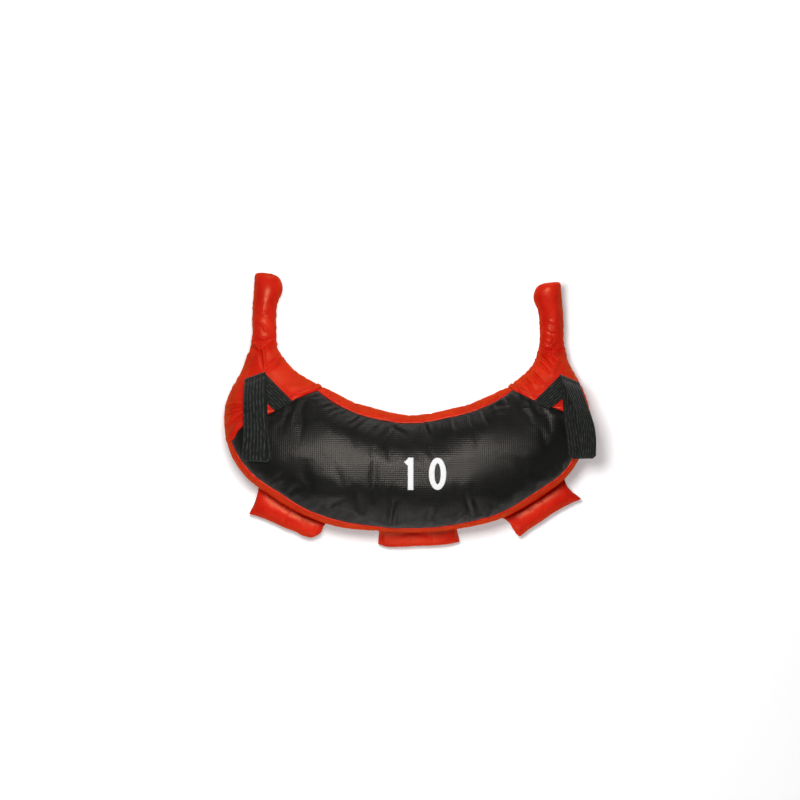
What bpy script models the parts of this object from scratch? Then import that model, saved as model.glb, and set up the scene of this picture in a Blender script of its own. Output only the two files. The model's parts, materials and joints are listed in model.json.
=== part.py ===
"""Bulgarian bag, ten kilogram size, lying flat on its back panel.

The crescent lies in the XY plane, with both handles towards +Y and the belly towards -Y.
The origin is on the floor under the middle of the belly, and +Z is up.
"""
import math

import bmesh
import bpy
from mathutils import Matrix, Vector
from mathutils.bvhtree import BVHTree

# Overall size of the stuffed bag
body_half_width = 0.280
bag_reach = 0.2985
body_thickness = 0.130
floor_flattening = 0.003

# Cover, seams and filling
cover_thickness = 0.0022
seam_gap = 0.0005
filling_clearance = 0.0005
wadding_thickness = 0.008

# Neck and handles
neck_roll_clearance = 0.0006
neck_margin = 0.0010
handle_radius = 0.0183
left_handle_length = 0.1145
right_handle_length = 0.107
left_handle_pitch = math.radians(-6)
right_handle_pitch = math.radians(12)

# Hand straps
webbing_thickness = 0.0024
strap_fold_radius = 0.0030
strap_clearance = 0.0004
strap_drape_reach = 0.004
loop_opening = 0.0125
loop_end_turn = 0.0045
loop_end_roll = math.radians(14)

# Grip tabs
tab_length = 0.038
tab_half_width = 0.056
tab_half_thickness = 0.0075
tab_rim_half_thickness = 0.0015
tab_cover_thickness = 0.0010
tab_hinge_gap = 0.0003
flange_reach = 0.005
side_tab_droop = math.radians(22)
centre_tab_droop = math.radians(52)

# Weight mark
numeral_height = 0.048
numeral_width = 0.026
numeral_stroke = 0.0085
numeral_spacing = 0.040
numeral_flag = 0.006
mark_offset = 0.020
mark_drop = 0.0015
film_thickness = 0.0006
film_gap = 0.0003
film_drape_reach = 0.003

# Outline, from the left neck to the right neck. Each row of shares holds the inner edge's x and y,
# the outer edge's x and y, the height that the underside is lifted to, and the thickness.
outline_shares = [
    (-0.710, 0.618, -0.865, 0.618, 0.09, 0.35),
    (-0.678, 0.573, -0.881, 0.568, 0.10, 0.42),
    (-0.624, 0.513, -0.913, 0.497, 0.09, 0.52),
    (-0.554, 0.470, -0.970, 0.402, 0.07, 0.65),
    (-0.517, 0.450, -0.996, 0.291, 0.04, 0.78),
    (-0.474, 0.427, -0.983, 0.141, 0.02, 0.88),
    (-0.362, 0.367, -0.897, -0.005, 0.00, 0.96),
    (-0.249, 0.327, -0.742, -0.116, 0.00, 0.99),
    (-0.131, 0.296, -0.522, -0.231, 0.00, 1.00),
    (-0.046, 0.281, -0.271, -0.284, 0.00, 1.00),
    (0.040, 0.279, 0.008, -0.294, 0.00, 1.00),
    (0.137, 0.294, 0.276, -0.276, 0.00, 1.00),
    (0.238, 0.317, 0.506, -0.219, 0.00, 1.00),
    (0.335, 0.342, 0.694, -0.116, 0.00, 0.99),
    (0.431, 0.379, 0.854, 0.000, 0.00, 0.96),
    (0.522, 0.425, 0.959, 0.206, 0.02, 0.88),
    (0.565, 0.457, 0.959, 0.317, 0.04, 0.78),
    (0.608, 0.490, 0.932, 0.407, 0.07, 0.65),
    (0.651, 0.533, 0.887, 0.482, 0.09, 0.52),
    (0.669, 0.563, 0.851, 0.545, 0.10, 0.42),
    (0.681, 0.600, 0.835, 0.597, 0.09, 0.35),
]
outline_scale = (body_half_width, bag_reach, body_half_width, bag_reach, body_thickness, body_thickness)
last_row = len(outline_shares) - 1
left_seam_row = 5
right_seam_row = 15

# How far across the bag the panels reach before the gussets turn down, and how square it is
panel_reach_share = 0.90
body_squareness = 3.0
neck_squareness = 2.2

# Handle profile: distance along the handle, lean towards the middle of the bag, and half width
handle_profile_shares = [
    (0.38, 0.00, 1.00),
    (0.55, 0.06, 1.01),
    (0.66, 0.17, 1.08),
    (0.77, 0.31, 1.19),
    (0.87, 0.36, 1.19),
    (0.94, 0.30, 1.06),
    (0.98, 0.24, 0.82),
    (1.00, 0.18, 0.42),
]

# Straps, in shares of the outline's size: the two ends of the fold line, the two sewn corners,
# then the corners of the loop's upper and lower layer at its free end. The outer side comes first.
left_strap_shares = {
    "fold": ((-0.887, 0.459), (-0.776, 0.494)),
    "sewn": ((-0.731, 0.318), (-0.633, 0.361)),
    "upper": ((-0.894, 0.075), (-0.763, 0.063)),
    "lower": ((-0.868, 0.075), (-0.737, 0.075)),
}
right_strap_shares = {
    "fold": ((0.903, 0.440), (0.795, 0.482)),
    "sewn": ((0.748, 0.326), (0.664, 0.363)),
    "upper": ((0.988, 0.085), (0.893, 0.077)),
    "lower": ((0.945, 0.085), (0.835, 0.095)),
}

# Grip tabs: how far along the outline each is, in rows, and how high it is sewn on
tab_row_share = {"left": 7.50, "centre": 10.12, "right": 12.80}
tab_height_share = 0.30

# Finishes: a colour and a roughness
vinyl_red = ((0.61, 0.013, 0.010, 1.0), 0.38)
vinyl_black = ((0.010, 0.010, 0.011, 1.0), 0.50)
webbing_black = ((0.012, 0.016, 0.013, 1.0), 0.80)
film_white = ((0.80, 0.80, 0.80, 1.0), 0.55)
felt_grey = ((0.22, 0.21, 0.20, 1.0), 0.95)
canvas_beige = ((0.42, 0.34, 0.22, 1.0), 0.90)
textile_mixed = ((0.30, 0.31, 0.34, 1.0), 0.95)
foam_cream = ((0.70, 0.62, 0.42, 1.0), 0.90)

# Finer choices: counts of facets, and shares of the sizes above

sharp_angle = math.radians(50)
slope_step = 0.01
panel_strip_count = 8
gusset_strip_count = 4
wrap_row_shares = (2.5, 17.5)
sand_bag_row_shares = {
    "left_sand_bag": (3.00, 7.24),
    "centre_sand_bag": (7.26, 12.74),
    "right_sand_bag": (12.76, 17.00),
}
stuffing_row_shares = {
    "left_wing_stuffing": (1.00, 2.48),
    "right_wing_stuffing": (17.52, 19.00),
}
rounded_end_rows_share = 0.75
rounded_end_draw_share = 0.45
tip_share = 0.90
handle_point_count = 14
roll_step_count = 10
roll_foot_share = 0.35
roll_height_share = 0.88
roll_layer_count = 6
roll_rounding = math.radians(72)
drape_sample_count = 6
anchor_strip_count = 4
anchor_step_count = 6
fold_step_count = 6
loop_step_count = 11
loop_strip_count = 2
turn_step_count = 6
loop_bulge_power = 0.8
flange_step_count = 6
flange_width_share = 0.96
tab_squareness = 2.6
tab_point_count = 20
tab_profile_shares = [
    (0.00, 0.94, 0.20),
    (0.16, 0.93, 0.62),
    (0.36, 0.93, 0.94),
    (0.58, 0.94, 1.00),
    (0.78, 0.96, 0.78),
    (0.92, 0.98, 0.42),
    (1.00, 0.98, 0.20),
]
numeral_step_count = 10
flag_place_share = 0.80
flag_spread_share = 0.19
numeral_ring_step_count = 20


# Scene, materials and objects

def clear_scene():
    """Removes the objects and collections that a new file opens with."""
    for old_object in list(bpy.data.objects):
        bpy.data.objects.remove(old_object, do_unlink=True)
    for old_collection in list(bpy.data.collections):
        bpy.data.collections.remove(old_collection)


def make_material(name, finish):
    """A plain material of one colour and roughness."""
    colour, roughness = finish
    material = bpy.data.materials.new(name)
    material.use_nodes = True
    shader = material.node_tree.nodes["Principled BSDF"]
    shader.inputs["Base Color"].default_value = colour
    shader.inputs["Roughness"].default_value = roughness
    shader.inputs["Metallic"].default_value = 0.0
    material.diffuse_color = colour
    return material


def add_object(name, bm, finish, frame=None, parent=None):
    """Turns a mesh into a named object, with its origin at frame, in parent's space if it has one."""
    bmesh.ops.recalc_face_normals(bm, faces=bm.faces)
    mesh = bpy.data.meshes.new(name)
    bm.to_mesh(mesh)
    bm.free()
    mesh.shade_smooth()
    mesh.set_sharp_from_angle(angle=sharp_angle)
    mesh.materials.append(make_material(name + "_finish", finish))
    new_object = bpy.data.objects.new(name, mesh)
    if frame is not None:
        new_object.matrix_world = frame
    if parent is not None:
        new_object.parent = parent
    parts.objects.link(new_object)
    return new_object


def add_empty(name, frame):
    """An empty that marks a joint's axis and carries the pieces that turn about it."""
    empty = bpy.data.objects.new(name, None)
    empty.empty_display_size = handle_radius
    empty.matrix_world = frame
    parts.objects.link(empty)
    return empty


def skin_rings(bm, rings, closed=True):
    """Joins each ring of vertices to the next with faces."""
    for ring, following in zip(rings, rings[1:]):
        count = len(ring)
        for index in range(count if closed else count - 1):
            after = (index + 1) % count
            bm.faces.new((ring[index], ring[after], following[after], following[index]))


def add_rings(bm, point_rings):
    """Adds rings of points as vertices."""
    return [[bm.verts.new(point) for point in ring] for ring in point_rings]


def solid_from_rings(point_rings):
    """A closed solid through rings of points, with a flat cap on each end."""
    bm = bmesh.new()
    rings = add_rings(bm, point_rings)
    skin_rings(bm, rings)
    bm.faces.new(rings[0])
    bm.faces.new(rings[-1])
    return bm


def cup_from_rings(outer_rings, inner_rings):
    """A cup: an outer and an inner skin, joined at their first rings and capped at their last."""
    bm = bmesh.new()
    outer = add_rings(bm, outer_rings)
    inner = add_rings(bm, inner_rings)
    skin_rings(bm, outer)
    skin_rings(bm, inner)
    skin_rings(bm, [outer[0], inner[0]])
    bm.faces.new(outer[-1])
    bm.faces.new(inner[-1])
    return bm


def sleeve_from_rings(outer_rings, inner_rings):
    """A tube with a wall, open at both ends."""
    bm = bmesh.new()
    outer = add_rings(bm, outer_rings)
    inner = add_rings(bm, inner_rings)
    skin_rings(bm, outer)
    skin_rings(bm, inner)
    skin_rings(bm, [outer[0], inner[0]])
    skin_rings(bm, [outer[-1], inner[-1]])
    return bm


def sheet_from_grids(outer_grid, inner_grid):
    """A sheet with a thickness, from a grid of points on each face."""
    bm = bmesh.new()
    outer = add_rings(bm, outer_grid)
    inner = add_rings(bm, inner_grid)
    skin_rings(bm, outer, closed=False)
    skin_rings(bm, inner, closed=False)
    outer_rim = rim_of(outer)
    inner_rim = rim_of(inner)
    skin_rings(bm, [outer_rim, inner_rim])
    return bm


def rim_of(grid):
    """The vertices round the edge of a grid, in order."""
    right_side = [row[-1] for row in grid[1:-1]]
    left_side = [row[0] for row in grid[1:-1]]
    return grid[0] + right_side + grid[-1][::-1] + left_side[::-1]


def spread(start, end, count):
    """count + 1 values from start to end, evenly spaced."""
    return [start + (end - start) * step / count for step in range(count + 1)]


def mix(start, end, share):
    """The value or vector that lies this share of the way from start to end."""
    return start + (end - start) * share


# The bag's skin, as one smooth surface

def outline_at(row):
    """The outline's six values at a place between rows, in metres, on a smooth curve."""
    base = min(max(int(math.floor(row)), 0), last_row - 1)
    local = row - base
    near = [outline_shares[min(max(base + offset, 0), last_row)] for offset in (-1, 0, 1, 2)]
    values = []
    for before, start, end, after, scale in zip(*near, outline_scale):
        leave = (end - before) / 2
        arrive = (after - start) / 2
        curve = 3 * (end - start) - 2 * leave - arrive
        twist = leave + arrive - 2 * (end - start)
        values.append((start + local * (leave + local * (curve + local * twist))) * scale)
    values[4] = max(values[4], 0)
    return values


def squareness_at(row):
    """The section is round at the necks and squarer between the two seams."""
    from_neck = min(row, last_row - row)
    share = min(max(from_neck / left_seam_row, 0), 1)
    return mix(neck_squareness, body_squareness, share)


def partner(value, power):
    """The other coordinate of a point on the unit section."""
    return max(1 - abs(value) ** power, 0) ** (1 / power)


def around(angle, power):
    """A point of the unit section at an angle from its outer side."""
    across = math.copysign(abs(math.cos(angle)) ** (2 / power), math.cos(angle))
    upward = math.copysign(abs(math.sin(angle)) ** (2 / power), math.sin(angle))
    return across, upward


def unit_section(kind, share, power):
    """A point of the unit section, on one of the panels, going round from inner edge over the top."""
    seam_height = partner(panel_reach_share, power)
    if kind == "front":
        across = mix(-panel_reach_share, panel_reach_share, share)
        return across, partner(across, power)
    if kind == "outer":
        upward = mix(seam_height, -seam_height, share)
        return partner(upward, power), upward
    if kind == "back":
        across = mix(panel_reach_share, -panel_reach_share, share)
        return across, -partner(across, power)
    upward = mix(-seam_height, seam_height, share)
    return -partner(upward, power), upward


def skin_point(row, kind, share):
    """A point of the bag's skin."""
    inner_x, inner_y, outer_x, outer_y, lift, thickness = outline_at(row)
    across, upward = unit_section(kind, share, squareness_at(row))
    centre = Vector(((inner_x + outer_x) / 2, (inner_y + outer_y) / 2, lift + thickness / 2))
    reach = Vector(((outer_x - inner_x) / 2, (outer_y - inner_y) / 2, 0))
    point = centre + reach * across
    if upward >= 0:
        point.z += upward * thickness / 2
    else:
        point.z = max(point.z + upward * (thickness / 2 + floor_flattening), lift)
    return point


def skin_slopes(row, kind, share):
    """How the skin's point moves with the row and with the share."""
    step = slope_step
    along = (skin_point(row + step, kind, share) - skin_point(row - step, kind, share)) / (2 * step)
    low = max(share - step, 0)
    high = min(share + step, 1)
    across = (skin_point(row, kind, high) - skin_point(row, kind, low)) / (high - low)
    return along, across


def skin_below(row, kind, share, depth):
    """A point at a depth under the skin, measured in the section's own upright plane."""
    inner_x, inner_y, outer_x, outer_y, lift, thickness = outline_at(row)
    chord = Vector((outer_x - inner_x, outer_y - inner_y, 0)).normalized()
    across = skin_slopes(row, kind, share)[1].normalized()
    outward = Vector((0, 0, across.dot(chord))) - chord * across.z
    return skin_point(row, kind, share) - outward.normalized() * depth


def places_between(kind, start, end, strips):
    """Places on a panel's section: its kind, and shares from start to end."""
    return [(kind, share) for share in spread(start, end, strips)]


def section_places(kind):
    """The places round the section that a piece of the cover spans."""
    half_strips = gusset_strip_count // 2
    front = places_between("front", 0, 1, panel_strip_count)
    back = places_between("back", 0, 1, panel_strip_count)
    if kind == "upper_half":
        rising = places_between("inner", 1 / 2, 1, half_strips)[:-1]
        falling = places_between("outer", 0, 1 / 2, half_strips)[1:]
        return rising + front + falling
    if kind == "lower_half":
        falling = places_between("outer", 1 / 2, 1, half_strips)[:-1]
        rising = places_between("inner", 0, 1 / 2, half_strips)[1:]
        return falling + back + rising
    if kind == "whole":
        outer = places_between("outer", 0, 1, gusset_strip_count)
        inner = places_between("inner", 0, 1, gusset_strip_count)
        return front[:-1] + outer[:-1] + back[:-1] + inner[:-1]
    strips = panel_strip_count if kind in ("front", "back") else gusset_strip_count
    return places_between(kind, 0, 1, strips)


def panel_grids(kind, rows):
    """The outer and inner face of a panel, drawn in from its seams by half the seam gap."""
    outer_grid = []
    inner_grid = []
    places = section_places(kind)
    for row_index, row in enumerate(rows):
        margin = neck_margin if row in (0, last_row) else seam_gap / 2
        outer_row = []
        inner_row = []
        for place_index, (part_kind, share) in enumerate(places):
            along, across = skin_slopes(row, part_kind, share)
            spot = row + edge_sign(row_index, len(rows)) * margin / along.length
            share += edge_sign(place_index, len(places)) * seam_gap / 2 / across.length
            outer_row.append(skin_point(spot, part_kind, share))
            inner_row.append(skin_below(spot, part_kind, share, cover_thickness))
        outer_grid.append(outer_row)
        inner_grid.append(inner_row)
    return outer_grid, inner_grid


def edge_sign(index, count):
    """Plus one at the first place of a row, minus one at the last, and zero between."""
    if index == 0:
        return 1
    if index == count - 1:
        return -1
    return 0


def section_ring(row, depth, scale=1.0):
    """A whole ring of points at a depth under the skin, drawn in to scale about its middle."""
    ring = [skin_below(row, kind, share, depth) for kind, share in section_places("whole")]
    middle = sum(ring, Vector()) / len(ring)
    return [middle + (point - middle) * scale for point in ring]


def rows_between(start, end):
    """The start, the half rows after it, and the end."""
    half_rows = [half / 2 for half in range(2 * last_row + 1)]
    return [start] + [row for row in half_rows if start < row < end] + [end]


# Cover

def make_panel(name, kind, start, end, finish):
    """A piece of the cover, from one row to another."""
    outer_grid, inner_grid = panel_grids(kind, rows_between(start, end))
    return add_object(name, sheet_from_grids(outer_grid, inner_grid), finish)


def make_cover():
    """The two panels, the two gussets and the front and back of each wing."""
    make_panel("front_panel", "front", left_seam_row, right_seam_row, vinyl_black)
    make_panel("back_panel", "back", left_seam_row, right_seam_row, vinyl_black)
    make_panel("inner_gusset", "inner", left_seam_row, right_seam_row, vinyl_red)
    make_panel("outer_gusset", "outer", left_seam_row, right_seam_row, vinyl_red)
    for side, start, end in (("left", 0, left_seam_row), ("right", right_seam_row, last_row)):
        make_panel(side + "_wing_front", "upper_half", start, end, vinyl_red)
        make_panel(side + "_wing_back", "lower_half", start, end, vinyl_red)


# Filling

def rounded_scale(row, start, end):
    """How far a ring is drawn in near the rounded ends of a sand bag."""
    from_end = min(row - start, end - row) / rounded_end_rows_share
    return 1 - rounded_end_draw_share * (1 - min(from_end, 1)) ** 2


def make_filling():
    """The felt round the sand, the three sand bags and the stuffing of the wings."""
    wrap_depth = cover_thickness + filling_clearance
    bag_depth = wrap_depth + wadding_thickness + filling_clearance
    wrap_rows = rows_between(*wrap_row_shares)
    outer_rings = [section_ring(row, wrap_depth) for row in wrap_rows]
    inner_rings = [section_ring(row, wrap_depth + wadding_thickness) for row in wrap_rows]
    add_object("wadding_wrap", sleeve_from_rings(outer_rings, inner_rings), felt_grey)
    for name, (start, end) in sand_bag_row_shares.items():
        rings = []
        for row in rows_between(start, end):
            rings.append(section_ring(row, bag_depth, rounded_scale(row, start, end)))
        add_object(name, solid_from_rings(rings), canvas_beige)
    for name, (start, end) in stuffing_row_shares.items():
        rings = [section_ring(row, wrap_depth) for row in rows_between(start, end)]
        add_object(name, solid_from_rings(rings), textile_mixed)


# Necks and handles

def neck_row(side):
    """The outline's row at a neck."""
    return 0 if side == "left" else last_row


def neck_roll_radius(side):
    """The roll's radius in plan, which fills the neck inside its cover."""
    inner_x, inner_y, outer_x, outer_y, lift, thickness = outline_at(neck_row(side))
    return abs(outer_x - inner_x) / 2 - cover_thickness - filling_clearance


def neck_frame(side):
    """The place and lean of a handle: local Y runs along the handle, and it bends about local Z."""
    pitch = left_handle_pitch if side == "left" else right_handle_pitch
    inner_x, inner_y, outer_x, outer_y, lift, thickness = outline_at(neck_row(side))
    middle = Vector(((inner_x + outer_x) / 2, (inner_y + outer_y) / 2, lift + thickness / 2))
    return Matrix.Translation(middle) @ Matrix.Rotation(pitch, 4, "X")


def round_section(half_width, half_height, power, count):
    """A section across the handle, as points in local X and Z."""
    section = []
    for step in range(count):
        across, upward = around(2 * math.pi * step / count, power)
        section.append((across * half_width, upward * half_height))
    return section


def handle_rings(side, length, inset, hollowed):
    """Rings along a handle, the first one flat or hollowed to fit round the neck roll."""
    inward = 1 if side == "left" else -1
    radius = handle_radius - inset
    start_reach = neck_roll_radius(side) + neck_roll_clearance
    start = []
    for x, z in round_section(radius, radius, neck_squareness, handle_point_count):
        reach = math.sqrt(max(start_reach ** 2 - x ** 2, 0)) if hollowed else start_reach
        start.append(Vector((x, reach, z)))
    rings = [start]
    for along_share, lean_share, width_share in handle_profile_shares:
        reach = along_share * length
        if along_share > tip_share:
            reach -= inset
        middle = inward * lean_share * handle_radius
        half_width = width_share * handle_radius - inset
        ring = []
        for x, z in round_section(half_width, half_width, neck_squareness, handle_point_count):
            ring.append(Vector((middle + x, reach, z)))
        rings.append(ring)
    return rings


def make_neck_roll(side, frame):
    """The soft roll that closes the wing's end, round in plan so that the handle turns on it."""
    radius = neck_roll_radius(side)
    angles = spread(0, math.pi, roll_step_count)
    outline = [(math.cos(angle) * radius, math.sin(angle) * radius) for angle in angles]
    foot = radius * roll_foot_share
    outline += [(-radius, -foot), (radius, -foot)]
    neck_thickness = outline_at(neck_row(side))[-1]
    half_height = (neck_thickness / 2 - cover_thickness) * roll_height_share
    rings = []
    for angle in spread(-roll_rounding, roll_rounding, roll_layer_count):
        draw_share, height_share = around(angle, neck_squareness)
        ring = [Vector((x * draw_share, y * draw_share, height_share * half_height)) for x, y in outline]
        rings.append(ring)
    return add_object(side + "_neck_roll", solid_from_rings(rings), textile_mixed, frame)


def make_handle(side, length):
    """A handle's sleeve and the firm core inside it, on the empty that bends at the neck."""
    frame = neck_frame(side)
    make_neck_roll(side, frame)
    pivot = add_empty(side + "_handle_pivot", frame)
    outer_rings = handle_rings(side, length, 0, hollowed=True)
    inner_rings = handle_rings(side, length, cover_thickness, hollowed=True)
    sleeve = cup_from_rings(outer_rings, inner_rings)
    add_object(side + "_handle_sleeve", sleeve, vinyl_red, None, pivot)
    core_rings = handle_rings(side, length, cover_thickness + filling_clearance, hollowed=False)
    add_object(side + "_handle_core", solid_from_rings(core_rings), textile_mixed, None, pivot)


# Straps

def plan_point(shares):
    """A place seen from above, from its shares of the outline's size."""
    return Vector((shares[0] * body_half_width, shares[1] * bag_reach, 0))


def surface_tree(names):
    """The surfaces of some pieces, to measure heights on."""
    vertices = []
    polygons = []
    for name in names:
        piece = bpy.data.objects[name]
        start = len(vertices)
        vertices += [piece.matrix_world @ vertex.co for vertex in piece.data.vertices]
        polygons += [[start + index for index in polygon.vertices] for polygon in piece.data.polygons]
    return BVHTree.FromPolygons(vertices, polygons)


def top_height(tree, x, y, reach):
    """The highest point of the surface within reach of a place, or None where there is none."""
    heights = []
    for step_x in (-1, 0, 1):
        for step_y in (-1, 0, 1):
            above = Vector((x + step_x * reach, y + step_y * reach, 2 * body_thickness))
            hit = tree.ray_cast(above, Vector((0, 0, -1)))[0]
            if hit is not None:
                heights.append(hit.z)
    return max(heights) if heights else None


def strap_axis(tree, fold):
    """The two ends of the fold line's axis, resting on the wing and sloping as the wing does."""
    outer_end, inner_end = (plan_point(corner) for corner in fold)
    samples = [mix(outer_end, inner_end, share) for share in spread(0, 1, drape_sample_count)]
    heights = [top_height(tree, point.x, point.y, 0) for point in samples]
    slope = heights[-1] - heights[0]
    lift = max(height - slope * share for height, share in zip(heights, spread(0, 1, drape_sample_count)))
    stand = strap_fold_radius + strap_clearance
    outer_end.z = lift + stand
    inner_end.z = lift + slope + stand
    return outer_end, inner_end


def make_strap_anchor(side, tree, axis_ends, sewn):
    """The doubled leg of webbing, from its sewn end to the round fold that the loop lifts about."""
    sewn_ends = [plan_point(corner) for corner in sewn]
    loops = []
    for width_share in spread(0, 1, anchor_strip_count):
        axis_point = mix(axis_ends[0], axis_ends[1], width_share)
        sewn_point = mix(sewn_ends[0], sewn_ends[1], width_share)
        heading = sewn_point - axis_point
        heading.z = 0
        low = Vector((axis_point.x, axis_point.y, axis_point.z - strap_fold_radius))
        low_row = [low]
        top_row = [low + Vector((0, 0, 2 * strap_fold_radius))]
        for along_share in spread(0, 1, anchor_step_count)[1:]:
            place = axis_point + heading * along_share
            place.z = top_height(tree, place.x, place.y, strap_drape_reach) + strap_clearance
            height = mix(2 * strap_fold_radius, 2 * webbing_thickness, along_share)
            low_row.append(place)
            top_row.append(place + Vector((0, 0, height)))
        back = -heading.normalized()
        end_row = []
        for angle in spread(math.pi / 2, -math.pi / 2, fold_step_count)[1:-1]:
            offset = back * math.cos(angle) * strap_fold_radius
            offset.z = math.sin(angle) * strap_fold_radius
            end_row.append(axis_point + offset)
        loops.append(low_row[::-1] + end_row[::-1] + top_row)
    return add_object(side + "_strap_anchor", solid_from_rings(loops), webbing_black)


def make_strap_loop(side, tree, axis_ends, shares, pivot):
    """The hand loop: one band that runs down, turns at its free end and comes back above itself."""
    upper_end = [plan_point(corner) for corner in shares["upper"]]
    lower_end = [plan_point(corner) for corner in shares["lower"]]
    fold_middle = (axis_ends[0] + axis_ends[1]) / 2
    far_middle = (upper_end[0] + upper_end[1]) / 2
    length = (far_middle - fold_middle).to_2d().length
    fold_slope = axis_ends[1].z - axis_ends[0].z
    end_slope = (upper_end[1] - upper_end[0]).length * math.tan(loop_end_roll)

    def edge_point(layer_share, width_share, along):
        """A place on the loop seen from above, by layer, across its width and along its length."""
        far_outer = mix(lower_end[0], upper_end[0], layer_share)
        far_inner = mix(lower_end[1], upper_end[1], layer_share)
        near = mix(axis_ends[0], axis_ends[1], width_share)
        far = mix(far_outer, far_inner, width_share)
        flat = mix(near.to_2d(), far.to_2d(), along / length)
        return Vector((flat.x, flat.y, 0))

    def roll_height(width_share, along):
        """The webbing's slope across its width, from the fold's slope to that of its free end."""
        return mix(fold_slope, end_slope, along / length) * (width_share - 1 / 2)

    def bed_height(along):
        """The height that clears everything under the loop at this distance from the fold."""
        heights = []
        for layer_share in (0, 1):
            for width_share in spread(0, 1, drape_sample_count):
                place = edge_point(layer_share, width_share, along)
                found = top_height(tree, place.x, place.y, strap_drape_reach)
                if found is not None:
                    heights.append(found - roll_height(width_share, along))
        return max(heights) + strap_clearance

    start_height = fold_middle.z + strap_fold_radius + strap_clearance
    stations = spread(0, length, loop_step_count)
    beds = [max(bed_height(along), start_height) if along else start_height for along in stations]
    path = []
    for along, bed in zip(stations, beds):
        path.append((along, bed + webbing_thickness / 2, 0))
    turn_radius = loop_end_turn / 2 + webbing_thickness / 2
    last_height = path[-1][1]
    for angle in spread(-math.pi / 2, math.pi / 2, turn_step_count)[1:-1]:
        along = length + turn_radius * math.cos(angle)
        height = last_height + turn_radius * (1 + math.sin(angle))
        path.append((along, height, angle / math.pi + 1 / 2))
    for along, bed in list(zip(stations, beds))[::-1]:
        share = along / length
        bulge_share = max(math.sin(math.pi * share), 0) ** loop_bulge_power
        bulge = bulge_share * (loop_opening - loop_end_turn * share)
        gap = mix(strap_clearance, loop_end_turn, share) + bulge
        path.append((along, bed + 3 / 2 * webbing_thickness + gap, 1))
    rings = []
    for index, (along, height, layer_share) in enumerate(path):
        before = path[max(index - 1, 0)]
        after = path[min(index + 1, len(path) - 1)]
        tangent = Vector((after[0] - before[0], after[1] - before[1])).normalized()
        if index in (0, len(path) - 1):
            tangent = Vector((math.copysign(1, tangent.x), 0))
        normal = Vector((-tangent.y, tangent.x)) * webbing_thickness / 2
        ring = []
        width_places = spread(0, 1, loop_strip_count)
        for sign, width_shares in ((-1, width_places), (1, width_places[::-1])):
            for width_share in width_shares:
                place = edge_point(layer_share, width_share, along + sign * normal.x)
                place.z = height + sign * normal.y + roll_height(width_share, along)
                ring.append(place)
        rings.append(ring)
    frame = pivot.matrix_world.inverted()
    local_rings = [[frame @ point for point in ring] for ring in rings]
    return add_object(side + "_strap_loop", solid_from_rings(local_rings), webbing_black, None, pivot)


def make_strap(side, shares):
    """One hand strap: its sewn leg on the wing and its loop on the empty at the fold."""
    covers = ["front_panel", "outer_gusset", side + "_wing_front", side + "_wing_back"]
    tree = surface_tree(covers)
    axis_ends = strap_axis(tree, shares["fold"])
    make_strap_anchor(side, tree, axis_ends, shares["sewn"])
    axis = (axis_ends[1] - axis_ends[0]).normalized()
    if axis.x < 0:
        axis = -axis
    middle = (axis_ends[0] + axis_ends[1]) / 2
    sideways = Vector((0, 0, 1)).cross(axis).normalized()
    turn = Matrix((axis, sideways, axis.cross(sideways))).transposed().to_4x4()
    pivot = add_empty(side + "_strap_pivot", Matrix.Translation(middle) @ turn)
    bed = surface_tree(covers + [side + "_strap_anchor"])
    make_strap_loop(side, bed, axis_ends, shares, pivot)


# Grip tabs

def tab_frame(side):
    """A tab's hinge line: local X runs along it, and local Y points away from the bag."""
    row = tab_row_share[side]
    inner_x, inner_y, outer_x, outer_y, lift, thickness = outline_at(row)
    ahead = outline_at(row + slope_step)
    behind = outline_at(row - slope_step)
    along = Vector((ahead[2] - behind[2], ahead[3] - behind[3], 0)).normalized()
    outward = Vector((along.y, -along.x, 0))
    across = 1 - 2 * tab_height_share
    reach = partner(across, squareness_at(row))
    half_chord = Vector((outer_x - inner_x, outer_y - inner_y, 0)) / 2
    middle = Vector(((inner_x + outer_x) / 2, (inner_y + outer_y) / 2, 0))
    seat = middle + half_chord * reach
    seat.z = lift + thickness * tab_height_share
    turn = Matrix((-along, outward, Vector((0, 0, 1)))).transposed().to_4x4()
    return Matrix.Translation(seat + outward * flange_reach) @ turn


def make_tab_flange(side, frame, tree):
    """The sewn strip that a tab hangs from, rounded where the tab turns on it."""
    rings = []
    half_width = tab_half_width * flange_width_share
    inward = frame.to_3x3() @ Vector((0, -1, 0))
    for width_share in spread(-1, 1, flange_step_count):
        x = width_share * half_width
        depths = []
        for side_step in (-1 / flange_step_count, 0, 1 / flange_step_count):
            for height in (-tab_rim_half_thickness, 0, tab_rim_half_thickness):
                start = frame @ Vector((x + side_step * half_width, flange_reach, height))
                depths.append(tree.ray_cast(start, inward)[3] - flange_reach)
        foot = strap_clearance - min(depths)
        ring = [(foot, -tab_rim_half_thickness), (foot, tab_rim_half_thickness)]
        for angle in spread(math.pi / 2, -math.pi / 2, fold_step_count):
            bead = tab_rim_half_thickness
            ring.append((math.cos(angle) * bead, math.sin(angle) * bead))
        rings.append([frame @ Vector((x, y, z)) for y, z in ring])
    return add_object(side + "_tab_flange", solid_from_rings(rings), vinyl_red)


def tab_rings(inset, start):
    """Rings along a tab, thick in the middle and pinched at its far edge."""
    rings = []
    for along_share, width_share, thickness_share in tab_profile_shares:
        half_width = width_share * tab_half_width - inset
        half_height = max(thickness_share * tab_half_thickness, tab_rim_half_thickness) - inset
        along = max(along_share * tab_length, start)
        if along_share > tip_share:
            along -= inset
        section = round_section(half_width, half_height, tab_squareness, tab_point_count)
        rings.append([Vector((x, along, z)) for x, z in section])
    return rings


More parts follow.
